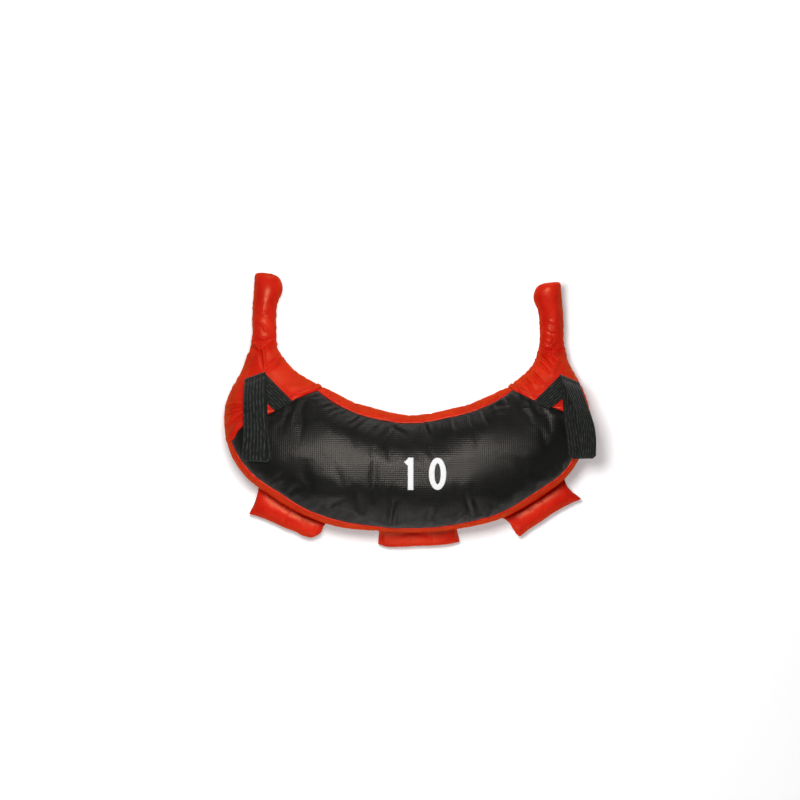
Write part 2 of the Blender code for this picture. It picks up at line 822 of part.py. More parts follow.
def make_tab(side, droop, tree):
    """A grip tab: its flange, and its cover and pad on the empty at the hinge line."""
    level = tab_frame(side)
    make_tab_flange(side, level, tree)
    pivot = add_empty(side + "_tab_pivot", level @ Matrix.Rotation(-droop, 4, "X"))
    root = tab_rim_half_thickness + tab_hinge_gap
    cover = cup_from_rings(tab_rings(0, root), tab_rings(tab_cover_thickness, root))
    add_object(side + "_tab_cover", cover, vinyl_red, None, pivot)
    pad = solid_from_rings(tab_rings(tab_cover_thickness + film_gap, root))
    add_object(side + "_tab_pad", pad, foam_cream, None, pivot)


# Weight mark

def draped_band(name, tree, stations, closed):
    """A flat band of film laid on the front panel, from pairs of edge points."""
    rings = []
    for left, right in stations:
        ring = []
        for point in (left, mix(left, right, 1 / 2), right):
            bed = top_height(tree, point.x, point.y, film_drape_reach) + film_gap
            ring.append(Vector((point.x, point.y, bed)))
        rings.append(ring + [point + Vector((0, 0, film_thickness)) for point in ring[::-1]])
    if not closed:
        return add_object(name, solid_from_rings(rings), film_white)
    bm = bmesh.new()
    vertex_rings = add_rings(bm, rings)
    skin_rings(bm, vertex_rings + vertex_rings[:1])
    return add_object(name, bm, film_white)


def make_weight_mark():
    """The numerals one and nought, for ten kilograms."""
    tree = surface_tree(["front_panel"])
    half_height = numeral_height / 2
    half_stroke = numeral_stroke / 2
    base = Vector((mark_offset, -mark_drop, 0))
    tens = base - Vector((numeral_spacing / 2, 0, 0))
    stations = []
    for share in spread(0, 1, numeral_step_count):
        height = mix(-half_height, half_height, share)
        flag = numeral_flag * max(1 - abs(share - flag_place_share) / flag_spread_share, 0)
        left = tens + Vector((-half_stroke - flag, height, 0))
        stations.append((left, tens + Vector((half_stroke, height, 0))))
    draped_band("weight_mark_tens", tree, stations, closed=False)
    units = base + Vector((numeral_spacing / 2, 0, 0))
    stations = []
    for step in range(numeral_ring_step_count):
        angle = 2 * math.pi * step / numeral_ring_step_count
        direction = Vector((math.cos(angle), math.sin(angle), 0))
        outer = Vector((direction.x * numeral_width / 2, direction.y * half_height, 0))
        stations.append((units + outer - direction * numeral_stroke, units + outer))
    draped_band("weight_mark_units", tree, stations, closed=True)


clear_scene()
parts = bpy.data.collections.new("bulgarian_bag")
bpy.context.scene.collection.children.link(parts)

make_cover()
make_filling()
make_handle("left", left_handle_length)
make_handle("right", right_handle_length)
bpy.context.view_layer.update()
make_strap("left", left_strap_shares)
make_strap("right", right_strap_shares)
gusset_tree = surface_tree(["outer_gusset"])
make_tab("left", side_tab_droop, gusset_tree)
make_tab("centre", centre_tab_droop, gusset_tree)
make_tab("right", side_tab_droop, gusset_tree)
make_weight_mark()
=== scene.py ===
"""Looks of the bulgarian bag: stuffed vinyl, ribbed webbing, padded grip tabs and printed numerals.

Everything is in metres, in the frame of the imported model. The bag's skin is one grid of points from
handle tip to handle tip, and each piece of the cover is a part of that grid.
"""
import json
import math
import random

import bmesh
import bpy
import numpy as np
from mathutils import Matrix, Vector, noise
from mathutils.bvhtree import BVHTree


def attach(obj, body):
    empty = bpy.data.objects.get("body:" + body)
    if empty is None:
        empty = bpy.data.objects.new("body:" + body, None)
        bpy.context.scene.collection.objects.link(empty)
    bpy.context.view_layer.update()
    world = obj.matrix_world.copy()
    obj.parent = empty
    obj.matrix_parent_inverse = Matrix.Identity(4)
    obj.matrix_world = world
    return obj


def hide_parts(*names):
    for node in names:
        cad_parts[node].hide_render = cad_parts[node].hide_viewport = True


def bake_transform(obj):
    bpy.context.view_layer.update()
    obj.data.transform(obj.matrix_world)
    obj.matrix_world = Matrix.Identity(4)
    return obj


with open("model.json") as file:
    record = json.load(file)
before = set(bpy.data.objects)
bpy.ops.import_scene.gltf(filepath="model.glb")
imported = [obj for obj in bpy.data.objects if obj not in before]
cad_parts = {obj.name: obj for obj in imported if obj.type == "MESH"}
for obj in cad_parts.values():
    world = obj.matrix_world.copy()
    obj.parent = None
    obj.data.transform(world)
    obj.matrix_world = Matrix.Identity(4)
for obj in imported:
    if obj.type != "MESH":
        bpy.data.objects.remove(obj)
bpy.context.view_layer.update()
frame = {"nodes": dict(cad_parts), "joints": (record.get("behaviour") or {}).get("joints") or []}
nodes = frame["nodes"]
joints = {joint["name"]: joint for joint in frame["joints"]}

# Picture: the camera looks straight down, and one pixel at the bag's widest level is this long
metres_per_pixel = 0.0015
picture_pixels = 800
origin_pixel = (410.5, 472.0)
widest_level = 0.065
lens_mm = 200.0
sensor_mm = 36.0

# Studio: each light's place, size and power, the surround's shades by height, and the floor
light_target = (0, 0.05, 0.06)
studio_lights = (
    ("key_light", (-0.13, 0.34, 2.1), 0.42, 40),
    ("back_light", (0.2, 2.3, 0.45), 0.8, 13),
    ("front_light", (-0.3, -2.2, 0.9), 1.3, 19),
)
surround_shades = ((0.25, 0.80), (0.80, 0.10))
surround_strength = 0.14
floor_size = 16
floor_gap = 0.0005
floor_glow = 0.30

# Stuffed body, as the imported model's source has it
body_half_width = 0.280
bag_reach = 0.2985
body_thickness = 0.130
floor_flattening = 0.003
body_squareness = 3.0
neck_squareness = 2.2

# How far across the body each panel reaches: the back panel, and the front panel's two edges by row
panel_reach_share = 0.90
inner_reach_shares = (
    (5, 0.90), (6, 0.885), (7, 0.862), (8, 0.885), (10, 0.897), (13, 0.89), (15, 0.90))
outer_reach_shares = (
    (5, 0.90), (7, 0.90), (8.5, 0.92), (9.6, 0.95), (10.3, 0.955), (11, 0.94), (13, 0.91), (15, 0.90))

# Rows of the outline from the left neck to the right one, as shares of the body's size: inner edge,
# outer edge, height of the underside and thickness
outline_shares = [
    (-0.710, 0.618, -0.865, 0.618, 0.09, 0.35),
    (-0.678, 0.573, -0.881, 0.568, 0.10, 0.42),
    (-0.624, 0.513, -0.913, 0.497, 0.09, 0.52),
    (-0.554, 0.470, -0.970, 0.402, 0.07, 0.65),
    (-0.517, 0.450, -0.996, 0.291, 0.04, 0.78),
    (-0.474, 0.427, -0.983, 0.141, 0.02, 0.88),
    (-0.362, 0.367, -0.897, -0.005, 0.00, 0.96),
    (-0.249, 0.327, -0.742, -0.116, 0.00, 0.99),
    (-0.131, 0.296, -0.522, -0.231, 0.00, 1.00),
    (-0.046, 0.281, -0.271, -0.284, 0.00, 1.00),
    (0.040, 0.279, 0.008, -0.294, 0.00, 1.00),
    (0.137, 0.294, 0.276, -0.276, 0.00, 1.00),
    (0.238, 0.317, 0.506, -0.219, 0.00, 1.00),
    (0.335, 0.342, 0.694, -0.116, 0.00, 0.99),
    (0.431, 0.379, 0.854, 0.000, 0.00, 0.96),
    (0.522, 0.425, 0.959, 0.206, 0.02, 0.88),
    (0.565, 0.457, 0.959, 0.317, 0.04, 0.78),
    (0.608, 0.490, 0.932, 0.407, 0.07, 0.65),
    (0.651, 0.533, 0.887, 0.482, 0.09, 0.52),
    (0.669, 0.563, 0.851, 0.545, 0.10, 0.42),
    (0.681, 0.600, 0.835, 0.597, 0.09, 0.35),
]
last_row = len(outline_shares) - 1
left_seam_row = 5
right_seam_row = 15

# Where the seam between panel and wing leaves its row: share across the front, then rows. The line
# through these is smoothed over some samples each side, and starts and ends at nothing
left_seam_bends = ((0, 0), (0.28, -0.22), (0.48, -0.16), (0.70, -0.22), (0.86, -0.28), (1, 0))
right_seam_bends = ((0, 0), (0.27, 0.02), (0.52, 0.16), (0.71, 0.22), (0.90, 0.10), (1, 0))
seam_bend_reach = 2.3
seam_bend_samples = 101
seam_bend_smoothing = 6
seam_bend_end_slope = 12

# Handles: distance along the handle, lean towards the middle of the bag, half width, and how far
# the tip slants down towards the middle
handle_radius = 0.0183
handle_lengths = {"left": 0.1155, "right": 0.108}
handle_profile_shares = [
    (0.13, 0.00, 1.03, 0.00),
    (0.26, 0.00, 1.00, 0.00),
    (0.38, 0.00, 1.00, 0.00),
    (0.55, 0.06, 1.01, 0.00),
    (0.66, 0.17, 1.08, 0.03),
    (0.77, 0.31, 1.19, 0.10),
    (0.86, 0.34, 1.18, 0.17),
    (0.92, 0.30, 1.11, 0.19),
    (0.96, 0.27, 0.99, 0.16),
    (0.985, 0.24, 0.79, 0.12),
    (1.00, 0.20, 0.44, 0.05),
]
handle_row_count = len(handle_profile_shares)
tip_fade_rows = 3

# Cover: its seams, its hems, and how far it may stand off the smooth skin
vinyl_thickness = 0.0014
seam_dip = 0.0011
seam_reach = 0.0026
wing_seam_share = 0.6
seam_ridge = 0.0008
seam_ridge_place = 0.0042
seam_ridge_width = 0.0016
hem_width = 0.0100
hem_height = 0.0012
hem_rise = 0.0020
hem_fall = 0.0015
hem_groove = 0.0008
hem_groove_width = 0.0016
deepest_dent = 0.0019
wing_dent = 0.0009
wing_dent_margin = 0.3
panel_dent_margin = 0.2
dent_fade_rows = 0.6
highest_bulge = 0.0160
crown_bulge = 0.0080
crown_power = 2.2
crown_rise_rows = 3

# Stuffing of the necks: how far inside the cover, its first row, and how the grid is thinned for it
stuffing_depth = 0.0004
stuffing_first_row = 0.9
stuffing_tip_rows = 2
stuffing_thinning = 4

# What is inflated as cloth: the skin, on every second point and held at its tips' rows, and the tabs.
# Each has a pressure, a shrinking, which is below zero for cloth that is cut too large, a number of
# frames and a cap on how far a point may move
skin_cloth_step = 2
skin_held_tip = 6
skin_pressure = 2.5
skin_shrink = -0.006
skin_cloth_frames = 12
skin_cloth_cap = 0.005
tab_pressure = 18.0
tab_shrink = -0.006
tab_cloth_frames = 20
tab_cloth_cap = 0.006
cloth_quality = 7
cloth_bending = 0.12

# Webbing: its ribs stand on half its thickness, and half_layer is the height of both together
webbing_thickness = 0.0019
webbing_width = 0.030
webbing_rib_count = 7
webbing_rib_height = 0.0005
webbing_rib_power = 0.6
webbing_edge_share = 0.05
webbing_edge_drop = webbing_thickness * 0.25
webbing_steps_across = 42
webbing_sharp_angle = math.radians(60)
half_layer = webbing_thickness / 2 + webbing_rib_height
strap_clearance = 0.0003

# A strap's sewn leg: its fold, how far it runs on under the hem, as a share of its length, how it
# leaves the fold's height for the wing's, how it sinks under the hem, and where its layers meet
strap_fold_radius = 0.0030
fold_set_in = 0.0022
leg_overrun = 1.07
leg_bed_margin = 0.02
leg_settle_reach = 0.014
leg_sink = 0.0014
leg_sink_reach = 0.006
leg_meeting_share = 0.6
layer_gap = 0.0001
leg_steps = 30
leg_fold_steps = 8

# A strap's loop: how it wraps the fold, its bow and small waves, its opening, the turn at its free end,
# and how widely and finely the surface under it is sampled
wrap_set_in = 0.0044
wrap_steps = 7
lower_wrap = (0.0042, math.radians(200), -math.radians(110))
upper_wrap = (0.0062, math.radians(90), math.radians(105))
loop_opening = 0.0125
loop_opening_power = 0.8
loop_bow_power = 1.2
loop_wave_height = 0.0006
loop_wave_pace = 9
loop_wave_shift = 2
loop_end_turn = 0.0045
loop_end_roll = math.radians(14)
loop_turn_steps = 12
loop_steps = 36
loop_bed_reach = 0.003
loop_bed_steps = 6

# The straps seen from above, in shares of the body's size, outer corner first: the fold, the sewn end
# and the free end of the loop's two layers. The bow of the upper layer's two edges is in metres
left_strap_shares = {
    "fold": ((-0.887, 0.459), (-0.776, 0.494)),
    "sewn": ((-0.731, 0.318), (-0.633, 0.361)),
    "upper": ((-0.894, 0.075), (-0.763, 0.063)),
    "lower": ((-0.868, 0.075), (-0.737, 0.075)),
    "bow": (0.0010, 0.0010),
}
right_strap_shares = {
    "fold": ((0.903, 0.440), (0.795, 0.482)),
    "sewn": ((0.748, 0.326), (0.664, 0.363)),
    "upper": ((0.988, 0.085), (0.893, 0.077)),
    "lower": ((0.945, 0.085), (0.835, 0.095)),
    "bow": (0.0060, 0.0115),
}

# Grip tabs: how far each hangs down, its thickness and how that falls to its edges, the strip that it
# is sewn by, its foam, and the pixels of its first side, its far edge and its last side
tab_droop = {"left": math.radians(22), "centre": math.radians(52), "right": math.radians(22)}
tab_half_width = 0.056
tab_half_thickness = {"left": 0.0100, "centre": 0.0125, "right": 0.0100}
tab_crest_power = {"left": 1.20, "centre": 1.65, "right": 1.20}
tab_side_power = 5
tab_side_fall = 0.55
tab_far_fall = 0.8
tab_bow = {"left": 0.0, "centre": -0.0050, "right": 0.0}
tab_bow_power = 0.9
tab_rim_half_thickness = 0.0012
flange_reach = 0.0054
tab_sewn_reach = 0.001
foam_inset = 0.0016
foam_side_insets = 5
foam_face_insets = 1.5
tab_steps_along = 49
tab_steps_out = 19
tab_outline_pixels = {
    "left": (
        ((257.8, 486.8), (257.5, 490.4), (256.0, 496.7), (253.2, 505.0), (250.6, 509.6), (248.0, 514.8)),
        ((248.0, 514.8), (254.0, 516.2), (264.5, 519.8), (274.3, 524.0), (284.0, 528.6),
         (295.4, 532.5), (301.7, 536.4), (310.8, 538.7), (317.6, 535.7)),
        ((317.6, 535.7), (321.3, 532.5), (323.4, 526.8), (326.2, 523.7)),
    ),
    "centre": (
        ((378.3, 530.2), (379.0, 536.5), (378.2, 541.0), (377.9, 545.2)),
        ((377.9, 545.2), (386.1, 547.0), (396.6, 546.9), (414.1, 546.0), (435.2, 545.3),
         (452.7, 543.9), (460.2, 542.8)),
        ((460.2, 542.8), (459.3, 539.5), (458.0, 535.8), (456.9, 530.2), (457.3, 526.0)),
    ),
    "right": (
        ((501.9, 518.1), (505.4, 519.8), (510.4, 524.0), (513.9, 530.4), (518.1, 536.0), (520.6, 537.6)),
        ((520.6, 537.6), (529.3, 530.4), (542.6, 521.9), (553.2, 514.2), (565.8, 507.2),
         (574.2, 503.0), (582.6, 499.8)),
        ((582.6, 499.8), (578.4, 496.0), (574.2, 493.2), (568.6, 487.5), (566.1, 482.6), (565.1, 478.4)),
    ),
}

# Materials: the vinyl's grain, the scrim's mesh, how rough the black vinyl is at a grazing angle, and
# the webbing's floats and strands, the streaks of its lighter rib crests (worn thread and painted
# highlight), and how much the weave and its clouds show
vinyl_grain = 0.0011
scrim_pitch = 0.0031
scrim_wander = 0.0012
scrim_line_power = 2.2
grazing_roughness = 0.95
float_length = 0.0021
float_slant = 1.2
strand_pitch = 0.00105
rib_wander = 0.0016
streak_scale = (900, 110, 1)
weave_contrast = 0.35
weave_share = 0.45
cloud_share = 0.2

# Printed numerals
numeral_height = 0.048
numeral_width = 0.026
numeral_stroke = 0.0085
numeral_spacing = 0.040
numeral_flag = 0.006
numeral_flag_place = 0.86
numeral_flag_share = 0.10
one_steps = 61
nought_steps = 96
mark_offset = 0.020
mark_drop = 0.0015
film_thickness = 0.0005
film_edge_share = 0.4
film_edge_power = 6
film_gap = 0.0001
film_steps_across = 8

# Stitches: each is a capsule whose rings are given by their place along it, size and rise
hem_stitch_place = 0.0082
stitch_length = 0.0032
stitch_gap = 0.0011
stitch_width = 0.0008
stitch_corners = 8
stitch_rings = (
    (-0.50, 0.05, -0.35), (-0.42, 0.60, -0.10), (-0.20, 1.00, 0.25),
    (0.20, 1.00, 0.25), (0.42, 0.60, -0.10), (0.50, 0.05, -0.35))

# Grid of the skin: steps between the rows of the outline, and strips round the section
steps_per_row = 22
handle_thinning = 3
normal_step = 0.002
front_strip_count = 64
gusset_strip_count = 28
back_strip_count = 40
strip_counts = (front_strip_count, gusset_strip_count, back_strip_count, gusset_strip_count)
ring_count = sum(strip_counts)
outer_seam = front_strip_count
back_outer_seam = outer_seam + gusset_strip_count
back_inner_seam = back_outer_seam + back_strip_count
wing_side_seams = (outer_seam + gusset_strip_count // 2, back_inner_seam + gusset_strip_count // 2)

# Swells of the stuffing: height, size and seed
stuffing_swells = ((0.0014, 0.060, 1), (0.0006, 0.021, 2))
swell_shift = (7.31, 3.17, 5.77)

# One gather: how its size, width and spacing vary, the valley beside its ridge in units of its width,
# how it leans away from the seam, and how close to the seam it starts
gather_sizes = (0.35, 1.0)
gather_widths = (0.7, 1.3)
gather_spacings = (0.6, 1.5)
gather_valley_depth = 0.75
gather_valley_place = 1.5
gather_valley_width = 0.65
gather_lean = 0.18
gather_start = 0.0022
gather_fade_power = 1.5

# Gathers along the body's seams: seam, seed, spacing, width, height, and how far they reach into the
# panels after and before the seam. Then those on the wings' side seams, and the rows that each spans
body_gathers = (
    (0, 11, 0.015, 0.0036, 0.0008, 0.022, 0.040),
    (outer_seam, 12, 0.017, 0.0040, 0.0009, 0.034, 0.018),
    (back_outer_seam, 13, 0.016, 0.0040, 0.0011, 0.030, 0.030),
    (back_inner_seam, 14, 0.014, 0.0036, 0.0012, 0.030, 0.026),
)
body_gather_span = (4.6, 15.4, 0.6)
wing_gathers = ((wing_side_seams[0], 21), (wing_side_seams[1], 22))
wing_gather_sizes = (0.012, 0.0032, 0.0009, 0.014, 0.014)
wing_gather_spans = ((-6.0, 5.0, 0.8), (15.0, 26.0, 0.8))

# Where a strap's sewn leg rests on the wing, the vinyl under it is smooth and pressed in
strap_rest_reach = 0.021
strap_rest_fade = 0.006
strap_rest_dent = 0.0004

# Folds pressed into the upper side: lines of pixels, height and width. Each has a valley on its right,
# in units of its width, and is lower at its ends
neck_fold_gain = 2.6
panel_fold_gain = 1.4
fold_valley_depth = 0.8
fold_valley_place = 1.35
fold_valley_width = 0.8
fold_end_height = 0.08
fold_end_power = 0.7
fold_side_fade = 4
left_neck_folds = [
    (((261.5, 346), (263, 352), (264, 360), (265.5, 370)), 0.0022, 0.0026),
    (((252, 342), (257, 346), (262.5, 353)), 0.0014, 0.0025),
    (((276, 344), (270, 347), (263.5, 352)), 0.0013, 0.0024),
    (((284, 357), (277, 363), (268.5, 371)), 0.0015, 0.0028),
    (((257, 337), (263, 339.5), (269, 337.5)), 0.0008, 0.0018),
    (((257, 311), (263, 314), (267, 312)), 0.0007, 0.0020),
    (((258, 322), (263, 326), (266, 331)), 0.0007, 0.0020),
    (((250, 352), (243, 362), (237, 371)), 0.0009, 0.0032),
    (((226, 406), (236, 405), (246, 405)), 0.0018, 0.0026),
    (((227, 413), (235, 410), (244, 407)), 0.0012, 0.0022),
    (((228, 424), (235, 416), (243, 411)), 0.0011, 0.0024),
    (((229, 436), (236, 428), (242, 421)), 0.0009, 0.0026),
]
right_neck_folds = [
    (((553.5, 337), (555, 342), (552.8, 346), (556.5, 352), (552.5, 357), (558, 362), (556, 368),
      (553, 373)), 0.0020, 0.0017),
    (((541, 355.8), (545.5, 361.5), (549.8, 367)), 0.0017, 0.0019),
    (((543.5, 352.5), (548, 357.5), (552.5, 361)), 0.0014, 0.0017),
    (((544, 346), (548, 349), (552.5, 350)), 0.0014, 0.0017),
    (((546, 340.5), (549.5, 342.5), (552.8, 343)), 0.0012, 0.0016),
    (((564, 350), (560.5, 352), (557.5, 353)), 0.0010, 0.0018),
    (((538, 362), (543, 368), (547.5, 373)), 0.0016, 0.0022),
    (((531, 371), (536, 378), (541, 383)), 0.0013, 0.0026),
    (((522, 376), (527, 383), (531, 390)), 0.0014, 0.0028),
    (((514, 382), (518, 388), (521, 394)), 0.0011, 0.0028),
    (((548, 329), (552, 331.5), (556, 331.5)), 0.0009, 0.0018),
    (((549, 321), (553, 323), (557, 322.5)), 0.0007, 0.0018),
]
panel_folds = [
    (((434, 506), (431, 513), (428, 523)), 0.0016, 0.0026),
    (((463, 512), (459, 516), (454, 522)), 0.0014, 0.0024),
    (((468, 495), (471, 504), (474, 519)), 0.0014, 0.0030),
    (((490, 511), (488, 514), (485, 519)), 0.0009, 0.0024),
    (((396, 505), (394, 514), (394, 525)), 0.0010, 0.0034),
    (((414, 512), (411, 518), (409, 526)), 0.0008, 0.0028),
    (((508, 396), (500, 401), (490, 406)), 0.0015, 0.0030),
    (((507, 408), (498, 409), (489, 413)), 0.0009, 0.0032),
    (((424, 417), (427, 424), (431, 432)), 0.0008, 0.0028),
    (((384, 416), (394, 424), (406, 431)), 0.0008, 0.0036),
    (((322, 389), (331, 396), (343, 404)), 0.0010, 0.0036),
    (((298, 462), (318, 474), (342, 480)), 0.0010, 0.0090),
    (((500, 448), (522, 456), (545, 452)), 0.0008, 0.0090),
]


# Plan and pixels

def at_pixel(pixel):
    """The place under a pixel of the picture, seen from above."""
    return np.array((
        (pixel[0] - origin_pixel[0]) * metres_per_pixel,
        (origin_pixel[1] - pixel[1]) * metres_per_pixel,
    ))


def mix(start, end, share):
    """The value or vector that lies this share of the way from start to end."""
    return start + (end - start) * share


def smooth_step(value):
    """Zero below zero, one above one, and smooth between."""
    share = np.clip(value, 0, 1)
    return share * share * (3 - 2 * share)


# The bag's skin

def pivot_of(joint_name):
    """A joint's place and axis."""
    joint = joints[joint_name]
    return Vector(joint["pos_m"]), Vector(joint["axis"]).normalized()


def handle_axes(side):
    """A handle's pivot, its direction along the handle and the sign of its inner side."""
    pivot, axis = pivot_of(side + "_handle_bend")
    along = axis.cross(Vector((1, 0, 0)))
    return pivot, along, 1 if side == "left" else -1


def handle_rows(side):
    """Rows of the outline along a handle, from the neck to the tip."""
    pivot, along, inward = handle_axes(side)
    rows = []
    for along_share, lean_share, width_share, slant_share in handle_profile_shares:
        middle = pivot + along * (along_share * handle_lengths[side])
        middle.x += inward * lean_share * handle_radius
        half_width = width_share * handle_radius
        slant = slant_share * handle_radius
        rows.append((
            middle.x + inward * half_width, middle.y - slant,
            middle.x - inward * half_width, middle.y + slant,
            middle.z - half_width, 2 * half_width,
        ))
    return rows


outline_scale = np.array(
    (body_half_width, bag_reach, body_half_width, bag_reach, body_thickness, body_thickness))
skin_rows = np.array(
    handle_rows("left")[::-1]
    + [tuple(row) for row in np.array(outline_shares) * outline_scale]
    + handle_rows("right")
)


def outline_at(row_grid):
    """The outline's six values at places between rows, on a smooth curve."""
    place = np.asarray(row_grid, float) + handle_row_count
    base = np.clip(np.floor(place).astype(int), 0, len(skin_rows) - 2)
    local = (place - base)[..., None]
    near = [skin_rows[np.clip(base + offset, 0, len(skin_rows) - 1)] for offset in (-1, 0, 1, 2)]
    before, start, end, after = near
    leave = (end - before) / 2
    arrive = (after - start) / 2
    curve = 3 * (end - start) - 2 * leave - arrive
    twist = leave + arrive - 2 * (end - start)
    values = start + local * (leave + local * (curve + local * twist))
    values[..., 4] = np.maximum(values[..., 4], 0)
    return values


def partner(value, power):
    """The other coordinate of a point on the unit section."""
    return np.maximum(1 - np.abs(value) ** power, 0) ** (1 / power)


def unit_section(ring_places, power, inner_reach, outer_reach):
    """Points of the unit section at ring places from 0 to 4, one for each panel it goes round."""
    inner_height = partner(inner_reach, power)
    outer_height = partner(outer_reach, power)
    under_height = partner(panel_reach_share, power)
    side = np.floor(np.clip(ring_places, 0, 4 - 1e-9)).astype(int)
    share = ring_places - side
    sweep = mix(-inner_reach, outer_reach, share)
    sweep_back = mix(panel_reach_share, -panel_reach_share, share)
    fall = mix(outer_height, -under_height, share)
    rise = mix(-under_height, inner_height, share)
    sides = [side == 0, side == 1, side == 2, side == 3]
    across = np.select(sides, [sweep, partner(fall, power), sweep_back, -partner(rise, power)])
    upward = np.select(sides, [partner(sweep, power), fall, -partner(sweep_back, power), rise])
    return across, upward


def skin_points(row_grid, ring_places):
    """Points of the smooth skin, for a grid of rows and ring places."""
    outline = outline_at(row_grid)
    lift = outline[..., 4]
    thickness = outline[..., 5]
    from_neck = np.clip(np.minimum(row_grid, last_row - row_grid) / left_seam_row, 0, 1)
    power = mix(neck_squareness, body_squareness, from_neck)
    inner_reach = np.interp(row_grid, *zip(*inner_reach_shares))
    outer_reach = np.interp(row_grid, *zip(*outer_reach_shares))
    across, upward = unit_section(ring_places, power, inner_reach, outer_reach)
    middle = (outline[..., 0:2] + outline[..., 2:4]) / 2
    half_chord = (outline[..., 2:4] - outline[..., 0:2]) / 2
    plan = middle + across[..., None] * half_chord
    flattening = floor_flattening * np.clip(from_neck * left_seam_row, 0, 1)
    below = np.maximum(upward * (thickness / 2 + flattening) + thickness / 2, 0)
    height = np.where(upward >= 0, thickness / 2 * (1 + upward), below)
    return np.concatenate((plan, (lift + height)[..., None]), axis=-1)


def seam_bend(ring_places):
    """How many rows the two panel seams lie off their own row, at each ring place."""
    line = np.linspace(0, 1, seam_bend_samples)
    from_end = np.minimum(line, np.linspace(1, 0, seam_bend_samples))
    window_size = 2 * seam_bend_smoothing + 1
    bends = []
    for corners in (left_seam_bends, right_seam_bends):
        fine = np.pad(np.interp(line, *zip(*corners)), seam_bend_smoothing, mode="edge")
        soft = np.convolve(fine, np.ones(window_size) / window_size, mode="valid")
        soft *= np.minimum(1, seam_bend_end_slope * from_end)
        bends.append(np.where(ring_places < 1, np.interp(ring_places, line, soft), 0))
    return bends


def skin_grid():
    """Rows, ring places and the smooth skin's points and normals on them."""
    row_line = np.linspace(
        -handle_row_count, last_row + handle_row_count,
        (last_row + 2 * handle_row_count) * steps_per_row + 1)
    on_handle = (row_line < -1) | (row_line > last_row + 1)
    row_line = row_line[~on_handle | (np.arange(len(row_line)) % handle_thinning == 0)]
    ring_line = np.concatenate([
        np.linspace(side, side + 1, strip_count, endpoint=False)
        for side, strip_count in enumerate(strip_counts)])
    row_grid, place_grid = np.meshgrid(row_line, ring_line, indexing="ij")
    bends = seam_bend(place_grid)
    for seam_row, bend in zip((left_seam_row, right_seam_row), bends):
        nearness = np.clip(1 - ((row_grid - seam_row) / seam_bend_reach) ** 2, 0, 1) ** 2
        row_grid = row_grid + bend * nearness
    points = skin_points(row_grid, place_grid)
    next_rows = skin_points(row_grid + normal_step, place_grid)
    along_step = next_rows - skin_points(row_grid - normal_step, place_grid)
    ahead = np.minimum(place_grid + normal_step, np.floor(place_grid) + 1 - 1e-6)
    behind = np.maximum(place_grid - normal_step, np.floor(place_grid))
    ring_step = skin_points(row_grid, ahead) - skin_points(row_grid, behind)
    outward = np.cross(ring_step, along_step)
    outward /= np.maximum(np.linalg.norm(outward, axis=2, keepdims=True), 1e-12)
    return row_line, ring_line, row_grid, points, outward


rows, places, bent_rows, smooth_points, normals = skin_grid()
left_seam = int(np.argmin(abs(rows - left_seam_row)))
right_seam = int(np.argmin(abs(rows - right_seam_row)))


# Meshes

def outward_faces(piece, weld_reach=0.0):
    """Turns a closed piece's faces outwards, after a weld of vertices within reach of each other."""
    bm = bmesh.new()
    bm.from_mesh(piece.data)
    if weld_reach:
        bmesh.ops.remove_doubles(bm, verts=bm.verts, dist=weld_reach)
    bmesh.ops.recalc_face_normals(bm, faces=bm.faces)
    bm.to_mesh(piece.data)
    bm.free()


def mesh_object(name, vertices, faces, attributes=()):
    """A smooth-shaded object in the scene, with vector attributes for its materials."""
    mesh = bpy.data.meshes.new(name)
    mesh.from_pydata([tuple(vertex) for vertex in vertices], [], faces)
    mesh.validate()
    mesh.shade_smooth()
    for attribute_name, values in attributes:
        attribute = mesh.attributes.new(attribute_name, "FLOAT_VECTOR", "POINT")
        attribute.data.foreach_set("vector", np.asarray(values, np.float32).ravel())
    piece = bpy.data.objects.new(name, mesh)
    bpy.context.scene.collection.objects.link(piece)
    return piece


def grid_faces(row_total, column_total, closed=False):
    """Faces of a grid of vertices, facing outwards for the bag's grid."""
    faces = []
    for row in range(row_total - 1):
        for column in range(column_total if closed else column_total - 1):
            after = (column + 1) % column_total
            here = row * column_total
            ahead = here + column_total
            faces.append((here + column, here + after, ahead + after, ahead + column))
    return faces


def tube_faces(row_total, column_total):
    """Faces of a grid of vertices that closes round its columns, with a face at each end."""
    faces = grid_faces(row_total, column_total, closed=True)
    faces.append(tuple(range(column_total)))
    faces.append(tuple(range((row_total - 1) * column_total, row_total * column_total))[::-1])
    return faces


# Relief: how far the vinyl stands off the smooth skin

def lengths_along():
    """Distance from the left tip, along each strip of the grid."""
    steps = np.linalg.norm(np.diff(smooth_points, axis=0), axis=2)
    return np.vstack((np.zeros((1, ring_count)), np.cumsum(steps, axis=0)))


def lengths_round():
    """Distance round each ring from the front panel's inner seam, and the ring's whole length."""
    closed = np.concatenate((smooth_points, smooth_points[:, :1]), axis=1)
    steps = np.linalg.norm(np.diff(closed, axis=1), axis=2)
    total = np.cumsum(steps, axis=1)
    return np.hstack((np.zeros((len(rows), 1)), total[:, :-1])), total[:, -1:]


along = lengths_along()
around, girth = lengths_round()


def from_ring_seam(column):
    """Distance of each point from a seam that runs along the bag, and on which side it is."""
    return (around - around[:, column:column + 1] + girth / 2) % girth - girth / 2


def from_cross_seam(row_index):
    """Distance of each point from a seam that runs round the bag."""
    return along - along[row_index:row_index + 1, :]


def row_window(first, last, edge):
    """One for the grid's rows between two rows of the outline, and zero outside, with soft edges."""
    return smooth_step((rows - first) / edge) * smooth_step((last - rows) / edge)


